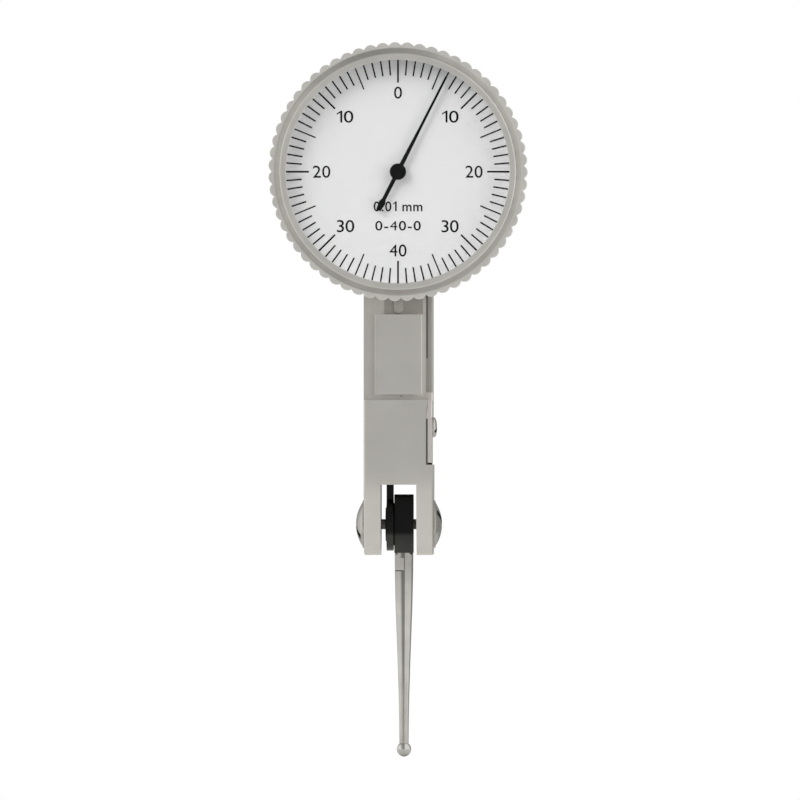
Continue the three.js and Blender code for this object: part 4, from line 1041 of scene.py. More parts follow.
@dataclass
class BodyCasting(BodySide):
    """Body with its dovetails and fork. Sizes in mm.

    Attributes:
        half_width: Half the body's width.
        fork_roof: Roof of the fork.
        foot_radius: Round end of the fork's arms.
        shoulder_bend: Radius where the front turns into the arms' slope.
        edge: Chamfer along the body's long edges.
        slot_half: Half the gap between the arms.
        wall_side: Inner face of the closed side.
        rooms: Front, lower and upper end of the rooms for the movement and for the lever.
        room_back: Back of both rooms.
        lever_gap: Lowest and highest corner of the gap between lever room and fork.
        bearing: Radius and place along the pivot of each step in its bearing holes.
        thread: Radius of the holes for small screws.
        bowl_thread: Front and back end of the holes for the bowl's screws.
        bridge_thread: Front and back end of the hole for the bridge's screw.
        cover_thread: Radius of the holes for the cover's screws.
        pins: Radius, left and right end of the holes for the stop pins.
        dimple: Radius, place across and height of the dimple under the front dovetail.
        dimple_ends: Front and back end of the dimple's tool.
        crown_hole: Radius, left and right end of the hole behind the crown arbor.
        centre_hole: Radius, front and back end of the hole for the centre arbor.
        score: Start, depth and width of the line scored over the left arm.
        root: Depth to which posts stand in the wall.
        post: Radius and end of the posts for the movement plate.
        boss: Radius of the posts for the cover.
        bridge_foot: Front, bottom, right side, back and top of the post for the bridge.
        dovetail: Half a dovetail's width at its face.
        dovetail_rise: Height of a dovetail.
        dovetail_root: Depth to which it stands in its carrier.
        dovetail_edge: Width of the broken edges of the front one.
        plain_edge: Width of the broken edges of the others.
        slope_share: Drop of a broken edge as a share of its width.
        right_share: Width of the right broken edge as a share of the left one's.
        dovetail_ends: Lower and upper end of the front dovetail.
        relief: Left, right and upper end of the shallow relief above it, which wears painted shade.
        relief_depth: Depth of that relief.
    """

    half_width: float = 4.75
    fork_roof: float = -42.6
    foot_radius: float = 4.2
    shoulder_bend: float = 12.0
    edge: float = 0.2
    slot_half: float = 2.43
    wall_side: float = -3.2
    rooms: tuple[Spot, Spot] = ((-12.6, -16.0, 12.0), (-11.0, -39.0, -15.0))
    room_back: float = -2.6
    lever_gap: tuple[Spot, Spot] = ((-1.88, -9.146, -43.6), (-0.53, -6.054, -38.0))
    bearing: tuple[Point, ...] = (
        (0, 1.4), (0.8, 1.4), (0.8, 2.935), (1.32, 2.935), (1.32, 3.575), (2.05, 3.575), (2.05, 6),
        (0, 6),
    )
    thread: float = 0.37
    bowl_thread: Point = (-14.6, -12.3)
    bridge_thread: Point = (-12.6, -9.3)
    cover_thread: float = 0.52
    pins: Spot = (0.42, -4.0, -2.2)
    dimple: Spot = (0.16, 0.37, -30.5)
    dimple_ends: Point = (-15.0, -11.4)
    crown_hole: Spot = (0.77, -3.72, -2.2)
    centre_hole: Spot = (1.3, -14.6, -11.6)
    score: Spot = (0.3, 0.03, 0.08)
    root: float = 0.7
    post: Point = (1.0, 2.64)
    boss: float = 1.2
    bridge_foot: tuple[float, ...] = (-13.1, 4.0, -1.1, -10.335, 6.0)
    dovetail: float = 3.175
    dovetail_rise: float = 1.6
    dovetail_root: float = 0.5
    dovetail_edge: float = 0.3
    plain_edge: float = 0.08
    slope_share: float = 0.3
    right_share: float = 0.35
    dovetail_ends: Point = (-30.3, -19.4)
    relief: Spot = (-1.95, 3.3, -17.2)
    relief_depth: float = 0.04

    def build(self) -> None:
        """Makes the body."""
        # The right chamfer and the relief under the bezel wear a darker copy of the chrome: painted
        # shade.
        self.finish_piece(
            "body_casting", self.casting(), SATIN_CHROME, "body_frame", edge=0.07, smooth_below=20.0,
            inlay=Inlay(CHROME_PAINTED_SHADE, self.has_painted_shade),
        )

    def fork_foot(self) -> list[Point]:
        """Draws the arms' tapering sides and round end.

        Returns:
            The foot's points as (y, z), from front to back.
        """
        y, z = AXLE
        span = Vector((self.front - y, self.fork_roof - z))
        lean = math.acos(self.foot_radius / span.length)
        start = math.atan2(span.y, span.x) + lean
        end = 3 * math.pi - start
        bend = self.shoulder_bend
        drop = bend * math.tan((start - math.pi) / 2)
        knee = (self.front + bend, self.fork_roof + drop)
        return [
            *arc(knee, bend, math.pi, start, 8), *arc(AXLE, self.foot_radius, start, end, 40),
            (self.back, self.fork_roof),
        ]

    def dovetail_section(self, carrier: float, face: float, blunt: float) -> list[Point]:
        """Draws a dovetail across its length.

        Args:
            carrier: Face that it stands on.
            face: Its outer face.
            blunt: Width of the flat on its left sharp edge.

        Returns:
            The outline as (across, out).
        """
        out = math.copysign(1.0, face - carrier)
        root = carrier - out * self.dovetail_root
        base = face - out * self.dovetail_rise
        slope = out * blunt * self.slope_share
        half, right = self.dovetail, self.right_share
        neck = half - self.dovetail_rise / math.tan(math.radians(60))
        return [
            (-neck, root), (-neck, base), (-half, face - slope), (-half + blunt, face),
            (half - blunt * right, face), (half, face - slope * right), (neck, base), (neck, root),
        ]

    def dovetails(self) -> list[Mesh]:
        """Makes the rear, front and end dovetails.

        Returns:
            Their meshes.
        """
        low, plain = self.dovetail_ends[0], self.plain_edge
        rear = self.dovetail_section(self.back, 0.0, plain)
        front = self.dovetail_section(self.pocket, self.front, self.dovetail_edge)
        end = self.dovetail_section(self.top, self.top + self.dovetail_rise, plain)
        return [
            slab(rear, Axis.Z, (low, self.top)), slab(front, Axis.Z, self.dovetail_ends),
            slab(end, Axis.Y, (self.front, self.back)),
        ]

    def bores(self) -> list[Mesh]:
        """Makes the tools for the round holes, and for the line scored over the left arm.

        Returns:
            Their meshes.
        """
        y, z = AXLE
        tools = []
        for side in (-1, 1):
            profile = [(radius, side * along) for radius, along in self.bearing]
            tools.append(lathe(profile, Axis.X, 48, (0, y, z)))
        through = (self.wall_side, self.outside[1][0])
        plate = rods(numbered("movement_plate_screw", 4), self.thread, through)
        bowl = rods(numbered("case_bowl_screw", 4), self.thread, self.bowl_thread, Axis.Y)
        tools += [tool for pair in zip(plate, bowl) for tool in pair]
        tools += rods(numbered("side_cover_screw", 3), self.cover_thread, through)
        pins = ("lever_stop_pin_front", "lever_stop_pin_rear")
        tools += rods(pins, self.pins[0], self.pins[1:])
        tools += rods(["centre_bridge_screw"], self.thread, self.bridge_thread, Axis.Y)
        radius, across, height = self.dimple
        tools.append(rod(radius, self.dimple_ends, Axis.Y, (across, 0, height)))
        start, depth, width = self.score
        front, roof = self.front, self.fork_roof
        low = (start - self.half_width, front - OVERRUN, roof)
        tools.append(brick(low, (-self.slot_half, front + depth, roof + width)))
        tools.append(rod(self.crown_hole[0], self.crown_hole[1:], Axis.X, (0, y, 0)))
        tools.append(rod(self.centre_hole[0], self.centre_hole[1:], Axis.Y))
        return tools

    def posts(self) -> list[Mesh]:
        """Makes the posts and bosses that the inner screws stand in.

        Returns:
            Their meshes.
        """
        root = self.wall_side - self.root
        radius, end = self.post
        front, bottom, right, back, top = self.bridge_foot
        return [
            *rods(numbered("movement_plate_screw", 4), radius, (root, end)),
            *rods(numbered("side_cover_screw", 3), self.boss, (root, self.open_side)),
            brick((root, front, bottom), (right, back, top)),
        ]

    def is_long(self, edge: Edge) -> bool:
        """Tells whether an edge of the body's blank runs along one of its sides.

        Args:
            edge: The edge.

        Returns:
            Whether it does.
        """
        one, other = (vert.co for vert in edge.verts)
        upright = abs(one.z - other.z) > 0.05 or max(one.z, other.z) < AXLE[1]
        return min(abs(one.x), abs(other.x)) > self.half_width - NEAR and upright

    def casting(self) -> Mesh:
        """Makes the body.

        Returns:
            Its mesh.
        """
        side, half = self.half_width, self.slot_half
        (_, ahead, below), (aside, behind, above) = self.outside
        blank = slab(self.side_outline(self.fork_foot()), Axis.X, (-side, side))
        rounded(blank, self.edge, self.is_long)
        rooms = [
            brick((self.wall_side, front, low), (aside, self.room_back, high))
            for front, low, high in self.rooms
        ]
        cover_room = brick((self.open_side, ahead, self.shoulder), (aside, behind, above))
        shell = cut(blank, *rooms, cover_room)
        whole = fused(shell, *self.posts(), *self.dovetails())
        fork_gap = brick((-half, ahead, below), (half, behind, self.fork_roof))
        left, right, high = self.relief
        floor = self.pocket + self.relief_depth
        relief = brick((left, ahead, self.dovetail_ends[1]), (right, floor, high))
        return cut(whole, fork_gap, brick(*self.lever_gap), relief, *self.bores())

    def has_painted_shade(self, face: Face) -> bool:
        """Tells whether a face of the body wears painted shade: its right chamfer and the relief.

        Args:
            face: The face.

        Returns:
            Whether it is.
        """
        middle = face.calc_center_median()
        slanted = face.normal.x > 0.25 and face.normal.y < -0.25
        sunk = abs(middle.y - self.pocket - self.relief_depth) < NEAR and face.normal.y < -0.9
        return (slanted and middle.x > self.half_width - 0.25) or sunk


@dataclass
class SideCover(BodySide):
    """Cover of the right side, with its seal and screws. Sizes in mm.

    Attributes:
        cover_end: Lower end of the cover.
        cover_faces: Inner and outer face of the cover, and its outer face low down.
        cover_step: Height at which the cover's outer face steps in.
        cover_edge: Width of its outer edges' bevel.
        cover_lip: Lower and upper end of the lip with which the cover meets the body.
        cover_hole: Radius of its screw holes.
        lip_set: How far back the lips start, and the seal's front with the upper one.
        lip_depths: Depth to which the lower and the upper lip reach.
        lap: How far lips and pad go into the plate.
        pad: Front, back, lower and upper end of the cover's inner pad.
        fit: Clearance of pad and seal.
        seal_ends: Distances of the seal's ends from the body's upper end.
        seal_rear: Distances of its rear strip from the back face.
        seal_foot: Distance of its foot from the front face.
        seal_front: Distances of its lower strip from the front face.
        seal_top: Distances of its upper strip's ends from pocket and back face.
        head_radius: Radius of the cover screws' heads.
        head_bulge: Power that rounds these heads; 1 makes an ellipse.
        head_steps: Steps of the head's profile.
        shank: Radius of these screws.
        screw_slot: Half the width of their slots.
        floor_share: Height of a slot's floor as a share of the head's.
        screw_turn: Turn of their slots in degrees.
    """

    cover_end: float = -39.6
    cover_faces: Spot = (4.0, 4.65, 4.52)
    cover_step: float = -33.4
    cover_edge: float = 0.16
    cover_lip: Point = (-33.6, -25.4)
    cover_hole: float = 0.6
    lip_set: float = 0.04
    lip_depths: Point = (1.0, 0.9)
    lap: Point = (0.1, 0.3)
    pad: tuple[float, ...] = (-9.8, -3.8, -37.8, -17.0)
    fit: float = 0.02
    seal_ends: Point = (1.5, 0.8)
    seal_rear: Point = (1.3, 0.6)
    seal_foot: float = 0.6
    seal_front: Point = (0.2, 1.0)
    seal_top: Point = (0.5, 1.0)
    head_radius: float = 1.375
    head_bulge: float = 0.84
    head_steps: int = 14
    shank: float = 0.5
    screw_slot: float = 0.2
    floor_share: float = 0.35
    screw_turn: float = 26.0

    def build(self) -> None:
        """Makes the cover, its seal and its screws."""
        # The cover's front faces wear painted shade high up and painted light low down.
        front_light_shade = Inlay(COVER_FRONT_LIGHT_SHADE, lambda face: face.normal.y < -0.6)
        plate = self.cover()
        self.finish_piece("cover_plate", plate, SATIN_CHROME, "side_cover", edge=0.06, inlay=front_light_shade)
        low = self.cover_end + NEAR
        foot = Inlay(RUBBER, lambda face: face.calc_center_median().z < low)
        self.finish_piece("cover_seal", self.seal(), SEAL_GREY, inlay=foot)
        for number, node in enumerate(numbered("side_cover_screw", 3), 1):
            box = Extent.of(node)
            slot = Inlay.slot(self.screw_slot_floor(box))
            name, screw = f"cover_screw_{number}", self.cover_screw(box)
            self.finish_piece(name, screw, POLISHED_STEEL, node, edge=0.03, inlay=slot)

    def is_outer(self, edge: Edge) -> bool:
        """Tells whether an edge of the cover's plate bounds its outer face below the pocket.

        Args:
            edge: The edge.

        Returns:
            Whether it does.
        """
        lowest = min(vert.co.z for vert in edge.verts)
        outside = min(vert.co.x for vert in edge.verts) > self.cover_faces[1] - NEAR
        return outside and lowest < self.pocket_ends[0] + NEAR

    def cover(self) -> Mesh:
        """Makes the plate that closes the right side, with its pad, lips and step.

        Returns:
            Its mesh.
        """
        inner, outer, low_outer = self.cover_faces
        (_, ahead, _), (aside, behind, _) = self.outside
        ends = [(self.front, self.cover_end), (self.back, self.cover_end)]
        plate = slab(self.side_outline(ends), Axis.X, (inner, outer))
        rounded(plate, self.cover_edge, self.is_outer)
        front, back, bottom, top = self.pad
        lap, pad_lap = self.lap
        added = [brick((self.open_side + self.fit, front, bottom), (inner + pad_lap, back, top))]
        low, high = self.cover_lip
        lips = (
            (self.front, self.lip_depths[0], self.pocket_ends[0]),
            (self.pocket, self.lip_depths[1], high),
        )
        for face, depth, upper in lips:
            corner = (self.open_side + NEAR, face + self.lip_set, low)
            added.append(brick(corner, (inner + lap, face + depth, upper)))
        step = brick((low_outer, ahead, self.cover_end - OVERRUN), (aside, behind, self.cover_step))
        holes = rods(numbered("side_cover_screw", 3), self.cover_hole, (inner - 1, aside))
        return cut(fused(plate, *added), step, *holes)

    def seal(self) -> Mesh:
        """Makes the seal between the body and its cover, with a foot under the cover.

        Returns:
            Its mesh.
        """
        inner, plate, low_outer = self.open_side + NEAR, self.cover_faces[0], self.cover_faces[2]
        low, high = self.shoulder + self.fit, self.top - self.seal_ends[1]
        bottom, top = self.cover_lip
        foot = brick(
            (inner, self.front + self.seal_foot, low),
            (low_outer - 0.03, self.back - self.seal_rear[1], self.cover_end - self.fit),
        )
        strips = (
            (self.pocket + self.lip_set, self.pocket + self.lip_depths[1], top + NEAR, high),
            (self.front + self.seal_front[0], self.front + self.seal_front[1], low, bottom - NEAR),
            (self.back - self.seal_rear[0], self.back - self.seal_rear[1], low, high),
            (
                self.pocket + self.seal_top[0], self.back - self.seal_top[1],
                self.top - self.seal_ends[0], high,
            ),
        )
        return fused(
            foot,
            *(
                brick((inner, front, under), (plate - NEAR, back, over))
                for front, back, under, over in strips
            ),
        )

    def cover_screw(self, box: Extent) -> Mesh:
        """Makes a domed, slotted screw.

        Args:
            box: Box of the CAD screw.

        Returns:
            Its mesh.
        """
        seat, low_seat = self.cover_faces[1:]
        rise, end = box.high.x - seat, box.low.x - seat
        stepped = box.middle.z < self.cover_step
        under = low_seat - seat if stepped else -self.fit
        profile = [(0, end), (self.shank, end), (self.shank, under), (self.head_radius, under)]
        for step in range(self.head_steps):
            angle = math.pi / 2 * step / self.head_steps
            across, along = math.cos(angle) ** self.head_bulge, math.sin(angle) ** self.head_bulge
            profile.append((self.head_radius * across, rise * along))
        profile.append((0, rise))
        place, half = (0, box.middle.y, box.middle.z), self.screw_slot
        screw = lathe(profile, Axis.X, 48, (seat, *place[1:]))
        slot = brick((self.screw_slot_floor(box), -2, -half), (seat + 1, 2, half))
        return cut(screw, moved(turned(slot, self.screw_turn, Axis.X), place))

    def screw_slot_floor(self, box: Extent) -> float:
        """Says how far out the floor of a cover screw's slot lies."""
        seat = self.cover_faces[1]
        return seat + (box.high.x - seat) * self.floor_share


@dataclass
class FrontTongue(SubAssembly):
    """Small round-ended tongue above the front dovetail."""

    def build(self) -> None:
        """Makes the tongue."""
        tongue = self.tongue(Extent.of("locating_tongue"))
        self.finish_piece("front_tongue", tongue, TONGUE_STEEL, "locating_tongue", edge=0.08)

    def tongue(self, box: Extent) -> Mesh:
        """Makes the small tongue above the front dovetail.

        Args:
            box: Box of the CAD tongue.

        Returns:
            Its mesh.
        """
        half, x = box.radius, box.middle.x
        round_end = arc((x, box.low.z + half), half, math.pi, FULL_TURN, 16)
        outline = [(x + half, box.high.z), (x - half, box.high.z), *round_end]
        return slab(outline, Axis.Y, (box.low.y, box.high.y))


@dataclass
class PivotCaps(SubAssembly):
    """Domed, slotted caps over the pivot bearings. Sizes in mm.

    Attributes:
        radius: Radius of a cap.
        rise: How far it stands proud.
        rim: Height of its rim.
        ledge: Width of its rim.
        foot_edge: Width of the broken edge at its foot.
        rim_edge: Width of the broken edge of its rim.
        groove: Distances of the groove's sides from the dome, and its depth.
        stem: Radius and inner end of its stem.
        seat: The arm's face that it sits on.
        slot: Width and depth of its slot.
        slot_turn: Turn of the slot in degrees.
    """

    radius: float = 3.25
    rise: float = 1.12
    rim: float = 0.22
    ledge: float = 0.26
    foot_edge: float = 0.04
    rim_edge: float = 0.06
    groove: Spot = (0.1, 0.05, 0.07)
    stem: Point = (2.0, 3.595)
    seat: float = 4.75
    slot: Point = (0.8, 0.65)
    slot_turn: float = -42.0

    def build(self) -> None:
        """Makes both caps."""
        for side in ("left", "right"):
            node = f"pivot_cap_{side}"
            self.finish_piece(
                f"domed_cap_{side}", self.cap(Extent.of(node).middle), CAP_NICKEL, node, edge=0.05,
                smooth_below=35.0, inlay=Inlay.slot(self.seat + self.rise - self.slot[1]),
            )

    def cap(self, middle: Vector) -> Mesh:
        """Makes a cap.

        Args:
            middle: Centre of the CAD cap.

        Returns:
            Its mesh.
        """
        rim, radius, crown = self.rim, self.radius, self.radius - self.ledge
        height = self.rise - rim
        dome = (crown**2 + height**2) / (2 * height)
        head = arc((self.rise - dome, 0), dome, math.asin(crown / dome), 0.0, 24)
        stem, inner = self.stem
        wide, narrow, depth = self.groove
        profile = [
            (0, inner - self.seat), (stem, inner - self.seat), (stem, 0.0),
            (radius - self.foot_edge, 0.0), (radius, self.foot_edge), (radius, rim - self.rim_edge),
            (radius - self.rim_edge, rim), (crown + wide, rim), (crown + narrow, rim - depth),
            *((across, along) for along, across in head),
        ]
        half = self.slot[0] / 2
        floor = self.seat + self.rise - self.slot[1]
        tool = brick((floor, -OVERRUN, -half), (floor + OVERRUN, OVERRUN, half))
        head = lathe(profile, Axis.X, 96, (self.seat, 0, 0))
        mesh = cut(head, turned(tool, self.slot_turn, Axis.X))
        if middle.x < 0:
            turned(mesh, 180, Axis.Z)
        return moved(mesh, (0, middle.y, middle.z))


@dataclass
class LeverGroup(SubAssembly):
    """Black lever plate, its washers and the pivot shaft. Sizes in mm.

    Attributes:
        body: Body that they ride on.
        faces: Left and right face of the plate.
        foot: Radius of the plate's round foot.
        neck: Half its width at the fork's roof.
        head: Half its width at its upper end.
        neck_rise: Height of the neck above the pivot.
        bore: Radius of its hole.
        rivet: Radius of its rivet holes.
        through: Where the tools of its holes start and end.
        washer_edge: Width of a washer's broken edges, and its largest share of the thickness.
        shaft_radii: Radius of the shaft's tenons and of its middle.
        shaft_half: Half the length of its middle.
    """

    body: Body = Body.LEVER
    faces: Point = (-1.68, -0.73)
    foot: float = 3.6
    neck: float = 1.2
    head: float = 0.85
    neck_rise: float = 5.4
    bore: float = 0.72
    rivet: float = 0.35
    through: Point = (-3.0, 1.0)
    washer_edge: Point = (0.08, 1 / 3)
    shaft_radii: Point = (0.35, 0.7)
    shaft_half: float = 2.915

    def build(self) -> None:
        """Makes the plate, washers and shaft."""
        self.finish_piece("lever_plate", self.plate(), BLACKENED_STEEL, "lever_arm", edge=0.06)
        for name, node in (("thin_washer", "lever_washer"), ("clutch_washer", "friction_washer")):
            self.finish_piece(name, self.washer(Extent.of(node)), BLACKENED_STEEL, node)
        self.finish_piece("pivot_axle", self.shaft(), PIVOT_STEEL, "pivot_shaft", edge=0.03)

    def plate(self) -> Mesh:
        """Makes the lever's plate.

        Returns:
            Its mesh.
        """
        y, z = AXLE
        top = Extent.of("lever_arm").high.z
        lean = math.acos(self.neck / self.foot)
        outline = [
            (y - self.head, top), (y - self.neck, z + self.neck_rise),
            *arc(AXLE, self.foot, math.pi - lean, FULL_TURN + lean, 64),
            (y + self.neck, z + self.neck_rise), (y + self.head, top),
        ]
        bore = rod(self.bore, self.through, Axis.X, (0, y, z), 48)
        blank = slab(outline, Axis.X, self.faces)
        return cut(blank, bore, *rods(numbered("sector_rivet", 2), self.rivet, self.through))

    def washer(self, box: Extent) -> Mesh:
        """Makes a washer with broken edges.

        Args:
            box: Box of the CAD washer.

        Returns:
            Its mesh.
        """
        outer = (box.high.z - box.low.z) / 2
        ends = (box.low.x, box.high.x)
        edge = min(self.washer_edge[0], (ends[1] - ends[0]) * self.washer_edge[1])
        return ring((self.bore, outer), ends, edge, Axis.X, 96, (0, *AXLE))

    def shaft(self) -> Mesh:
        """Makes the pivot shaft with its tenons.

        Returns:
            Its mesh.
        """
        end, half = Extent.of("pivot_shaft").high.x, self.shaft_half
        tenon, radius = self.shaft_radii
        profile = [(0, -end), (tenon, -end), (tenon, -half), (radius, -half)]
        profile += [(radius, -along) for radius, along in reversed(profile)]
        return lathe(profile, Axis.X, 48, (0, *AXLE))


@dataclass
class StylusGroup(SubAssembly):
    """Black block, tapered stylus and ball. Sizes in mm.

    Attributes:
        body: Body that they ride on.
        faces: Left and right face of the block.
        depth: Half the block's depth.
        foot_depth: Half its depth at its lower end.
        ends: Lower and upper end of the block.
        knee: Height at which it starts to narrow.
        corner: Radius of its upper corners.
        bore: Radius of its hole for the shaft.
        through: Where that hole's tool starts and ends.
        stub: Radius and length of the stylus's stub in the block.
        stub_fit: Clearance of that stub.
        taper: Height and radius of the stylus at each station.
        flat_ends: Lower and upper end of its wrench flats.
        flat_half: Half the distance between the flats.
        flat_bend: Radius at the flats' lower end.
        flat_turn: Turn of the flats in degrees.
        seam: Height of the narrow bands of faces that bound the flats.
        ball_radius: Radius of the ball.
    """

    body: Body = Body.STYLUS
    faces: Point = (-0.62, 1.98)
    depth: float = 2.3
    foot_depth: float = 1.75
    ends: Point = (-51.9, -43.92)
    knee: float = -48.9
    corner: float = 1.0
    bore: float = 0.73
    through: Point = (-3.0, 4.0)
    stub: Point = (0.6, 2.0)
    stub_fit: float = 0.02
    taper: tuple[Point, ...] = (
        (-51.9, 1.265), (-52.6, 1.265), (-54.4, 1.25), (-56.0, 1.22), (-57.6, 1.185), (-59.3, 1.14),
        (-60.9, 1.075), (-62.5, 1.025), (-64.2, 0.96), (-65.8, 0.9), (-67.4, 0.845), (-69.1, 0.8),
        (-70.7, 0.74), (-72.3, 0.7), (-74.0, 0.665), (-75.6, 0.645), (-77.9, 0.635),
    )
    flat_ends: Point = (-54.4, -52.6)
    flat_half: float = 0.965
    flat_bend: float = 0.16
    flat_turn: float = 50.5
    seam: Point = (0.001, 0.01)
    ball_radius: float = 1.0

    def build(self) -> None:
        """Makes the block, shank and ball."""
        self.finish_piece("holder_block", self.block(), BLACKENED_STEEL, "stylus_block", edge=0.07)
        # The ledges under the flats get the dark slot steel: painted shade in the step.
        self.finish_piece(
            "tapered_stylus", self.shank(), STYLUS_STEEL, "stylus_shank", smooth_below=20.0,
            inlay=Inlay(SLOT_PAINTED_SHADE, self.is_ledge),
        )
        self.finish_piece("contact_ball", self.ball(), BALL_STEEL, "ball_tip")

    @property
    def middle(self) -> float:
        """Place of the stylus's axis across the block."""
        return sum(self.faces) / 2

    def block(self) -> Mesh:
        """Makes the block that holds the stylus.

        Returns:
            Its mesh.
        """
        y, z = AXLE
        low, high = self.ends
        front, back = y - self.depth, y + self.depth
        bend = self.corner
        outline = [
            *arc((back - bend, high - bend), bend, 0.0, math.pi / 2, 10),
            *arc((front + bend, high - bend), bend, math.pi / 2, math.pi, 10), (front, self.knee),
            (y - self.foot_depth, low), (y + self.foot_depth, low), (back, self.knee),
        ]
        bore = rod(self.bore, self.through, Axis.X, (0, y, z), 48)
        radius, depth = (size + self.stub_fit for size in self.stub)
        socket = rod(radius, (low - 1, low + depth), Axis.Z, (self.middle, y, 0), 48)
        return cut(slab(outline, Axis.X, self.faces), bore, socket)

    def is_ledge(self, face: Face) -> bool:
        """Tells whether a face belongs to the ledges under the wrench flats, which wear painted shade.
        """
        rise = face.calc_center_median().z - self.flat_ends[0]
        return face.normal.z > 0.3 and -0.02 < rise < self.flat_bend

    def profile(self) -> list[Point]:
        """Draws half the stylus, from its stub down, with fine bands where its flats end.

        Returns:
            Radius and height of each point.
        """
        low, high = self.flat_ends
        thin, wide = self.seam
        stub, length = self.stub
        top = self.ends[0]
        profile = [(0, top + length), (stub, top + length), (stub, top)]
        for height, radius in self.taper:
            places = [height]
            if height == low:
                curve = [self.flat_bend * (1 - math.sin(step * math.pi / 12)) for step in range(6)]
                places = [*(low + thin + rise for rise in curve), low + thin, low - wide]
            elif height == high:
                places = [height + wide, height - wide]
            profile += [(radius, place) for place in places]
        return [*profile, (0, self.taper[-1][0])]

    def shank(self) -> Mesh:
        """Makes the stylus, with its stub in the block and its wrench flats.

        Returns:
            Its mesh.
        """
        low, high = self.flat_ends
        mesh = lathe(self.profile(), Axis.Z, 96)
        turn = math.radians(self.flat_turn)
        normal = Vector((math.cos(turn), math.sin(turn), 0))
        bend = self.flat_bend
        for vert in mesh.verts:
            reach = vert.co.dot(normal)
            below = max(0.0, low + bend - vert.co.z)
            most = self.flat_half + bend - math.sqrt(max(0.0, bend**2 - below**2))
            if low < vert.co.z < high and abs(reach) > most:
                vert.co -= normal * (reach - math.copysign(most, reach))
        return moved(mesh, (self.middle, AXLE[0], 0))

    def ball(self) -> Mesh:
        """Makes the ball.

        Returns:
            Its mesh.
        """
        box = Extent.of("ball_tip")
        mesh = bmesh.new()
        bmesh.ops.create_uvsphere(mesh, u_segments=64, v_segments=40, radius=self.ball_radius)
        return moved(mesh, (box.middle.x, box.middle.y, box.low.z + self.ball_radius))


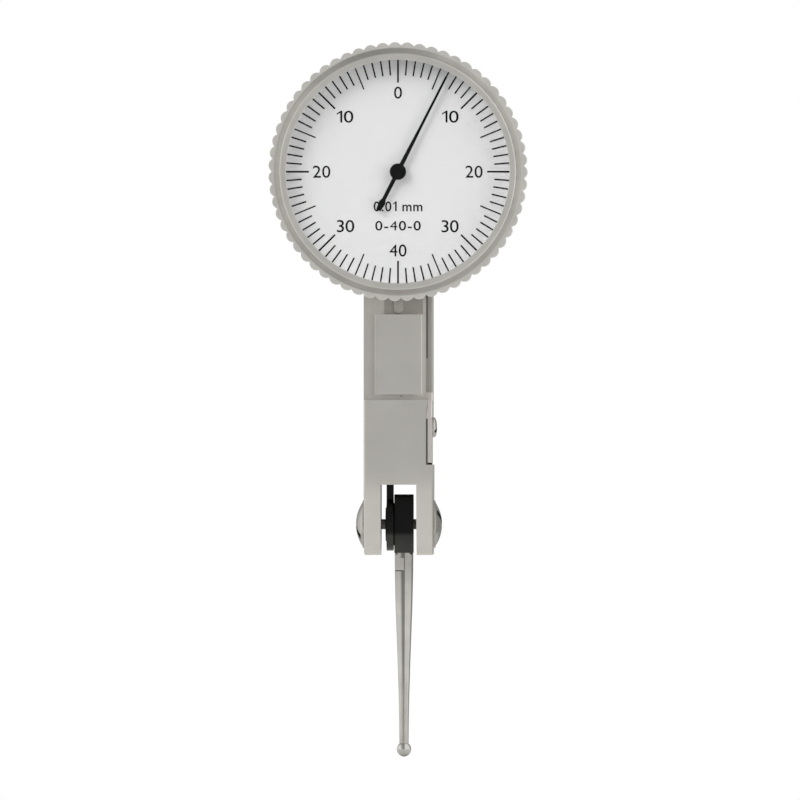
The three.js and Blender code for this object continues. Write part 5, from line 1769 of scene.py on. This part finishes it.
@dataclass
class CaseGroup(SubAssembly):
    """Case bowl, scalloped bezel, window and its seal, dial rings. Sizes in mm.

    Attributes:
        body: Body that they ride on.
        scallops: Number of lobes round the bezel.
        lobe_steps: Steps in each lobe.
        radius: Radius at the top of a lobe.
        scallop_depth: How deep the valleys are.
        lobe_turn: Turn of the lobe nearest the top, in degrees clockwise.
        lip: Outer radius of the raised lip.
        lip_round: Where its outer edge's three points lie, outward and back from its corner.
        flare: Radius where the lip's slope meets the scalloped face.
        cove: Where the slope's three points lie, outward and back from its middle and its foot.
        corner: Width of the broken edges of the scalloped ring.
        corner_share: Inset of a broken edge's middle as a share of its width.
        fine_edge: Width of the broken edges of the window's opening and of the bowl's seat.
        window: Radius of the opening.
        recess: Radius of the window's recess.
        bore: Inner radius behind the window.
        front: Front of the lip.
        shelf: Front of the scalloped ring.
        back: Back of the bezel.
        window_faces: Front and back of the window.
        wire_groove: Ends of the groove for the retaining wire.
        groove_depth: Depth of the groove in the bezel and in the bowl.
        rings: Name, node, finish, inner radius and broken edges of each plain ring.
        pane_edge: Width of the window's broken edges.
        bowl_bore: Radius of the hole in the bowl.
        bowl_edge: Width of the broken edge at its back.
        bowl_seat: Front face of its flange.
        bowl_wall: Outer and inner radius of its wall.
        bowl_floor: Front face of its floor.
    """

    body: Body = Body.BEZEL
    scallops: int = 63
    lobe_steps: int = 12
    radius: float = 17.62
    scallop_depth: float = 0.5
    lobe_turn: float = -1.3
    lip: float = 16.1
    lip_round: tuple[Point, ...] = ((-0.14, 0.0), (-0.05, 0.04), (0.0, 0.14))
    flare: float = 16.8
    cove: tuple[Point, ...] = ((-0.12, 0.08), (-0.1, -0.06), (0.06, 0.0))
    corner: float = 0.05
    corner_share: float = 0.3
    fine_edge: float = 0.06
    window: float = 15.2
    recess: float = 15.78
    bore: float = 16.22
    front: float = -19.4
    shelf: float = -18.2
    back: float = -14.3
    window_faces: Point = (-19.1, -18.2)
    wire_groove: Point = (-15.15, -14.65)
    groove_depth: float = 0.2
    rings: tuple[tuple[str, str, Finish, float, float], ...] = (
        ("window_seal", "crystal_gasket", RUBBER, 15.6, 0.03),
        ("dial_spacer", "dial_spacer_ring", DIAL_SILVER, 15.32, 0.05),
    )
    pane_edge: float = 0.06
    bowl_bore: float = 0.77
    bowl_edge: float = 0.12
    bowl_seat: float = -14.15
    bowl_wall: Point = (16.12, 15.42)
    bowl_floor: float = -14.4

    def build(self) -> None:
        """Makes every round piece of the case."""
        bezel = self.bezel()
        self.finish_piece("scalloped_bezel", bezel, BEZEL_CHROME, "bezel_ring", smooth_below=17.0)
        pane = self.plain_ring("crystal", 0.0, self.pane_edge)
        window = self.finish_piece("window_pane", pane, WINDOW, "crystal")
        window.visible_shadow = False
        for name, node, finish, inner, edge in self.rings:
            self.finish_piece(name, self.plain_ring(node, inner, edge), finish, node)
        self.finish_piece("case_shell", self.bowl(), SATIN_CHROME, "case_bowl", body=Body.HOUSING)

    @staticmethod
    def plain_ring(node: str, inner: float, edge: float) -> Mesh:
        """Makes a ring or disc about the dial's axis, in a CAD node's place and size."""
        box = Extent.of(node)
        return ring((inner, box.radius), (box.high.y, box.low.y), edge, Axis.Y, 192)

    def lobe(self, turn: float) -> float:
        """Finds how far a lobe stands out of its valleys.

        Args:
            turn: Angle round the bezel in radians.

        Returns:
            The height over the valleys in mm.
        """
        half = math.pi * (self.radius - self.scallop_depth) / self.scallops
        round_radius = (half**2 + self.scallop_depth**2) / (2 * self.scallop_depth)
        share = ((turn - math.radians(self.lobe_turn)) * self.scallops / FULL_TURN + 0.5) % 1.0
        along = (2 * share - 1) * half
        drop = round_radius - self.scallop_depth
        return math.sqrt(round_radius**2 - along**2) - drop

    def bezel(self) -> Mesh:
        """Makes the bezel: a spun section whose edge is then drawn into lobes.

        Returns:
            Its mesh.
        """
        top, low, high = self.radius, *self.wire_groove
        front, shelf, back, fine = self.front, self.shelf, self.back, self.fine_edge
        corner, inset = self.corner, self.corner * self.corner_share
        groove = self.bore + self.groove_depth
        middle = ((self.lip + self.flare) / 2, (front + shelf) / 2)
        roots = (middle, (self.flare, shelf), (self.flare, shelf))
        profile = [
            (self.window, self.window_faces[0]), (self.window, front + fine),
            (self.window + fine, front),
            *((self.lip + out, front + behind) for out, behind in self.lip_round),
            *((x + out, y + behind) for (x, y), (out, behind) in zip(roots, self.cove)),
            (top - corner, shelf), (top - inset, shelf + inset), (top, shelf + corner),
            (top, back - corner), (top - inset, back - inset), (top - corner, back), (self.bore, back),
            (self.bore, high), (groove, high), (groove, low), (self.bore, low),
            (self.bore, self.window_faces[1]), (self.recess, self.window_faces[1]),
            (self.recess, self.window_faces[0]),
        ]
        mesh = lathe(profile, Axis.Y, self.scallops * self.lobe_steps, closed=True)
        for vert in mesh.verts:
            radius = math.hypot(vert.co.x, vert.co.z)
            if radius > top - corner - NEAR:
                turn = math.atan2(vert.co.x, vert.co.z)
                reach = radius - self.scallop_depth + self.lobe(turn)
                vert.co.x *= reach / radius
                vert.co.z *= reach / radius
        return mesh

    def bowl(self) -> Mesh:
        """Makes the bowl that the bezel turns on.

        Returns:
            Its mesh.
        """
        box = Extent.of("case_bowl")
        flange, edge, fine = box.radius, self.bowl_edge, self.fine_edge
        low, high = self.wire_groove
        outer, inner = self.bowl_wall
        groove = outer - self.groove_depth
        profile = [
            (self.bowl_bore, box.high.y), (flange - edge, box.high.y), (flange, box.high.y - edge),
            (flange, self.bowl_seat + fine), (flange - fine, self.bowl_seat), (outer, self.bowl_seat),
            (outer, high), (groove, high), (groove, low), (outer, low), (outer, box.low.y),
            (inner, box.low.y), (inner, self.bowl_floor), (self.bowl_bore, self.bowl_floor),
        ]
        return lathe(profile, Axis.Y, 192, closed=True)


@dataclass(frozen=True)
class Legend:
    """A word or number printed on the dial. Sizes in mm.

    Attributes:
        text: What it says.
        place: Its centre, (x, z).
        size: Its width and height.
        gap: Gap between its signs, where a figure is 0.7 high.
        weight: What is added to each side of its strokes, at that height.
    """

    text: str
    place: Point
    size: Point
    gap: float = 0.07
    weight: float = 0.004


@dataclass
class DialGroup(SubAssembly):
    """Dial with its printed divisions and numbers. Sizes in mm.

    Attributes:
        body: Body that they ride on.
        divisions: Number of divisions round the dial.
        mark_reach: Outer radius of the marks.
        ink: Thickness of the print.
        hole: Radius of the dial's hole.
        edge: Width of the dial's broken edges.
        legends: The numbers and the value of a division.
        blank: Width of a blank, where a figure is 0.7 high, as for the next two.
        stem: Left and right side of the figure 1.
        flag: Lean of its top, height of its flag's tip, of the tip's foot and of the root.
    """

    body: Body = Body.BEZEL
    divisions: int = 80
    mark_reach: float = 15.3
    ink: float = 0.02
    hole: float = 0.9
    edge: float = 0.04
    legends: tuple[Legend, ...] = (
        Legend("0", (0.0, 10.76), (1.08, 1.65)), Legend("10", (7.12, 7.49), (2.25, 1.65)),
        Legend("20", (10.34, 0.0), (2.34, 1.66)), Legend("30", (7.08, -7.42), (2.34, 1.68)),
        Legend("40", (0.0, -10.72), (2.32, 1.67)), Legend("30", (-7.14, -7.4), (2.38, 1.67)),
        Legend("20", (-10.4, 0.0), (2.38, 1.66)), Legend("10", (-7.2, 7.49), (2.25, 1.65)),
        Legend("0.01 mm", (0.0, -4.72), (6.64, 1.37), 0.12, 0.012),
        Legend("0-40-0", (0.0, -7.35), (6.2, 1.33), 0.11, 0.01),
    )
    blank: float = 0.3
    stem: Point = (0.17, 0.245)
    flag: tuple[float, ...] = (0.03, 0.54, 0.46, 0.58)

    def build(self) -> None:
        """Makes the dial and its print."""
        box = Extent.of("dial_plate")
        face = box.low.y
        self.finish_piece("dial_disc", self.disc(box), DIAL_SILVER, "dial_plate")
        strokes = [self.mark(number, face) for number in range(self.divisions)]
        self.finish_piece("dial_marks", gathered(strokes), DIAL_INK)
        words = [self.lettering(legend, face) for legend in self.legends]
        self.finish_piece("dial_numbers", gathered(words), DIAL_INK)

    def disc(self, box: Extent) -> Mesh:
        """Makes the dial.

        Args:
            box: Box of the CAD dial.

        Returns:
            Its mesh.
        """
        outer, hole, edge = box.radius, self.hole, self.edge
        back, face = box.high.y, box.low.y
        profile = [
            (hole, back), (outer, back), (outer, face + edge), (outer - edge, face),
            (hole + edge, face), (hole, face + edge),
        ]
        return lathe(profile, Axis.Y, 192, closed=True)

    def mark(self, number: int, face: float) -> Mesh:
        """Makes a division's mark.

        Args:
            number: Its count from the top.
            face: Front face of the dial.

        Returns:
            Its mesh.
        """
        fifth = Rank.FIVE if number % 5 == 0 else Rank.SINGLE
        inner, width = (Rank.TEN if number % 10 == 0 else fifth).value
        stroke = brick((-width / 2, face - self.ink, inner), (width / 2, face, self.mark_reach))
        return turned(stroke, 360 * number / self.divisions, Axis.Y)

    def lettering(self, legend: Legend, face: float) -> Mesh:
        """Makes one word or number.

        Args:
            legend: What it says, and where.
            face: Front face of the dial.

        Returns:
            Its mesh, fitted to its size.
        """
        pen, signs = 0.0, []
        for sign in legend.text:
            if sign == " ":
                pen += self.blank
                continue
            glyph = self.glyph(sign, legend.weight)
            box = Extent.round(glyph)
            signs.append(moved(glyph, (pen - box.low.x, 0, 0)))
            pen += box.high.x - box.low.x + legend.gap
        mesh = turned(gathered(signs), 90, Axis.X)
        bmesh.ops.remove_doubles(mesh, verts=mesh.verts, dist=MERGE / 10)
        box = Extent.round(mesh)
        wanted = (legend.size[0], self.ink, legend.size[1])
        scale = [want / span for want, span in zip(wanted, box.high - box.low)]
        bmesh.ops.scale(moved(mesh, -box.middle), verts=mesh.verts, vec=scale)
        return moved(mesh, (legend.place[0], face - self.ink / 2, legend.place[1]))

    def glyph(self, sign: str, weight: float) -> Mesh:
        """Makes one sign, standing on the X axis.

        Args:
            sign: The sign.
            weight: What is added to each side of its strokes.

        Returns:
            Its mesh, about 0.7 high.
        """
        if sign == "1":
            left, right = self.stem[0] - 2 * weight, self.stem[1] + 2 * weight
            lean, tip, foot, root = self.flag
            stem = [(left, 0.0), (right, 0.0), (right, 0.7), (left + lean, 0.7)]
            flag = [(0.0, tip), (0.0, foot - weight), (left, root)]
            return slab([*stem, *flag], Axis.Z, (-0.5, 0.5))
        curve = bpy.data.curves.new("lettering", "FONT")
        curve.body = sign
        curve.extrude = 0.5
        curve.offset = 0.0 if sign == "4" else weight
        curve.resolution_u = 6
        item = in_scene("lettering", curve)
        mesh = evaluated(item)
        bpy.data.objects.remove(item)
        bpy.data.curves.remove(curve)
        return mesh


@dataclass
class HandGroup(SubAssembly):
    """Pointer and its hub. Sizes in mm.

    Attributes:
        body: Body that they ride on.
        reach: From the axis to the tip.
        tip: Length of the pointed tip, and half the width where it starts.
        root: Half the width at the hub, and how far out that is.
        slender: Half the width where the blade is slender, and how far out that is.
        tail: From the axis to the tail's end.
        spear: Length of the tail's wide end.
        tail_half: Half the width of the tail.
        spear_half: Half the width of its wide end.
        spear_end: Half the width at its very end.
        turn: Angle at rest in degrees, clockwise from the top.
        hub_round: Inset and depth of each point on the hub's rounded edge.
        hub_dent: Outer and inner radius and depth of the dent in the hub.
    """

    body: Body = Body.CENTRE
    reach: float = 14.7
    tip: Point = (0.24, 0.145)
    root: Point = (0.29, 1.4)
    slender: Point = (0.18, 7.2)
    tail: float = 5.9
    spear: float = 1.75
    tail_half: float = 0.255
    spear_half: float = 0.46
    spear_end: float = 0.31
    turn: float = 27.0
    hub_round: tuple[Point, ...] = ((0.0, 0.16), (0.03, 0.08), (0.1, 0.02), (0.2, 0.0))
    hub_dent: Spot = (0.34, 0.3, 0.05)

    def build(self) -> None:
        """Makes the pointer and hub."""
        blade = self.blade(Extent.of("pointer"))
        self.finish_piece("hand_blade", blade, HAND_BLACK, "pointer", edge=0.025)
        hub = self.hub(Extent.of("pointer_hub"))
        self.finish_piece("hand_hub", hub, HAND_BLACK, "pointer_hub")

    def blade(self, box: Extent) -> Mesh:
        """Makes the pointer's blade.

        Args:
            box: Box of the CAD pointer.

        Returns:
            Its mesh.
        """
        waist = self.spear - self.tail
        bulge = waist - self.spear / 3
        point, tip_half = self.tip
        right = [self.root, self.slender, (tip_half, self.reach - point)]
        left = [(-across, along) for across, along in reversed(right)]
        tail = [
            (-self.tail_half, waist), (-self.spear_half, bulge), (-self.spear_end, -self.tail),
            (self.spear_end, -self.tail), (self.spear_half, bulge), (self.tail_half, waist),
        ]
        outline = [*right, (0.0, self.reach), *left, *tail]
        return turned(slab(outline, Axis.Y, (box.low.y, box.high.y)), self.turn, Axis.Y)

    def hub(self, box: Extent) -> Mesh:
        """Makes the hub.

        Args:
            box: Box of the CAD hub.

        Returns:
            Its mesh.
        """
        radius, back, front = box.radius, box.high.y, box.low.y
        outer, inner, depth = self.hub_dent
        profile = [
            (0.0, back), (radius, back),
            *((radius - inset, front + behind) for inset, behind in self.hub_round), (outer, front),
            (inner, front + depth), (0.0, front + depth),
        ]
        return lathe(profile, Axis.Y, 96)


class Movement:
    """CAD nodes that are shown as they are, each in its slot's finish."""

    def build(self) -> None:
        """Dresses every node that no piece stands for."""
        slots = {part["node"]: part["material_slot"] for part in frame["record"]["subparts"]}
        for node, item in frame["nodes"].items():
            if item.hide_render:
                continue
            finish = SLOT_FINISHES[slots[node]]
            if not item.material_slots:
                item.data.materials.append(material_of(finish))
            for slot in item.material_slots:
                slot.material = material_of(finish)
            LOG.info("%s: kept, in %s", node, finish.name)


@dataclass
class Studio:
    """Camera, floor, lamps and surroundings. Sizes in metres.

    Attributes:
        lens: Focal length in mm.
        sensor: Width of the camera's sensor in mm.
        clip: Nearest and farthest distance that the camera sees.
        view_width: Width of the view at the object.
        aim: Point that the camera looks at.
        swing: How far the camera stands to the right, in degrees.
        floor_half: Half the floor's side.
        floor_gap: Gap under the ball.
        lamps: Name, place, side and power in watts of each square softbox.
        lamp_aim: Point that the lamps face.
        ambient: Light of the surroundings on matt surfaces.
        dim_side: What gloss sees straight before and behind the object.
        dim_left: Where that part ends on the left, and where full light starts.
        dim_right: The same on the right.
        dim_behind: Where full light ends on the right behind the object, and where it is dim.
    """

    lens: float = 1200.0
    sensor: float = 36.0
    clip: Point = (0.1, 20.0)
    view_width: float = 0.10899
    aim: Spot = (0.0002, -0.012, -0.03106)
    swing: float = 0.9
    floor_half: float = 0.12
    floor_gap: float = 0.00005
    lamps: tuple[tuple[str, Spot, float, float], ...] = (
        ("key_softbox", (-0.45, -0.6, 0.45), 0.45, 2.4), ("fill_softbox", (0.6, -0.5, 0.15), 0.5, 1.3),
        ("back_softbox", (0.1, 0.6, 0.5), 0.5, 1.2),
    )
    lamp_aim: Spot = (0.0, 0.0, -0.03)
    ambient: float = 0.62
    dim_side: float = 0.36
    dim_left: Point = (-0.35, -0.85)
    dim_right: Point = (0.1, 0.3)
    dim_behind: Point = (0.55, 0.2)

    def build(self) -> None:
        """Makes the whole studio."""
        self.camera()
        self.floor()
        for name, place, size, power in self.lamps:
            self.lamp(name, place, size, power)
        self.surroundings()

    def camera(self) -> None:
        """Places the camera straight before the object, far off with a long lens."""
        data = bpy.data.cameras.new("camera")
        data.lens = self.lens
        data.sensor_width = self.sensor
        data.clip_start, data.clip_end = self.clip
        camera = in_scene("camera", data)
        turn = math.radians(self.swing)
        distance = self.view_width * self.lens / self.sensor
        away = Vector((math.sin(turn), -math.cos(turn), 0.0))
        camera.location = Vector(self.aim) + away * distance
        camera.rotation_euler = (math.pi / 2, 0.0, turn)
        bpy.context.scene.camera = camera

    def floor(self) -> None:
        """Lays the floor just under the ball."""
        mesh = bmesh.new()
        bmesh.ops.create_grid(mesh, x_segments=1, y_segments=1, size=self.floor_half)
        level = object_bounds()[0].z - self.floor_gap
        item = in_scene("floor", as_data("floor", moved(mesh, (0, 0, level))))
        item.data.materials.append(material_of(FloorFinish()))
        item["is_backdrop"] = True

    def lamp(self, name: str, place: Spot, size: float, power: float) -> None:
        """Hangs a square softbox that faces the object.

        Args:
            name: Its name.
            place: Its place.
            size: Its side.
            power: Its power in watts.
        """
        data = bpy.data.lights.new(name, "AREA")
        data.size = size
        data.energy = power
        item = in_scene(name, data)
        item.visible_glossy = False
        item.location = place
        towards = Vector(self.lamp_aim) - Vector(place)
        item.rotation_euler = towards.to_track_quat("-Z", "Y").to_euler()

    def surroundings(self) -> None:
        """Makes the world: white to the camera, and a bright room with dim ends to gloss."""
        world = bpy.data.worlds.new("studio")
        bpy.context.scene.world = world
        world.use_nodes = True
        world.node_tree.nodes.clear()
        bench = NodeBench(world.node_tree)

        def ramp(part: str, edges: Point) -> Socket:
            """Fades from the dim part to full light along a part of the direction."""
            return bench.spread(direction[part], self.dim_side, 1.0, *edges, fade="SMOOTHSTEP")

        def gate(value: Socket, barred: Socket | float = 0.0) -> Socket:
            """Turns a count into 0 or 1, and into 0 wherever another one is set."""
            return bench.reckon("SUBTRACT", value, barred, clamp=True)

        def light(strength: Socket | float) -> Socket:
            """Gives white light of a strength."""
            sockets = {"Color": WHITE, "Strength": strength}
            return bench.add("Background", sockets).outputs["Background"]

        def mixed(share: Socket, one: Socket, other: Socket) -> Socket:
            """Passes from one light to another."""
            return bench.add("MixShader", {"Fac": share, 1: one, 2: other}).outputs["Shader"]

        source = bench.add("TexCoord").outputs["Generated"]
        direction = bench.add("SeparateXYZ", {"Vector": source}).outputs
        rays = bench.add("LightPath").outputs
        right = bench.reckon("MINIMUM", ramp("X", self.dim_right), ramp("Y", self.dim_behind))
        mirrored = bench.reckon("MAXIMUM", ramp("X", self.dim_left), right)
        matt, glossy = gate(rays["Diffuse Depth"]), gate(rays["Glossy Depth"])
        room = mixed(gate(glossy, matt), light(self.ambient), light(mirrored))
        direct = gate(gate(rays["Is Transmission Ray"], matt), glossy)
        seen = bench.reckon("MAXIMUM", rays["Is Camera Ray"], direct)
        bench.add("OutputWorld", {"Surface": mixed(seen, room, light(1.0))})


def main() -> None:
    """Builds the indicator and its studio."""
    groups = (
        BodyCasting, SideCover, FrontTongue, PivotCaps, LeverGroup, StylusGroup, CaseGroup, DialGroup,
        HandGroup, Movement, Studio,
    )
    for group in groups:
        group().build()
    bpy.context.scene.view_settings.view_transform = "Standard"


if __name__ == "__main__":
    main()
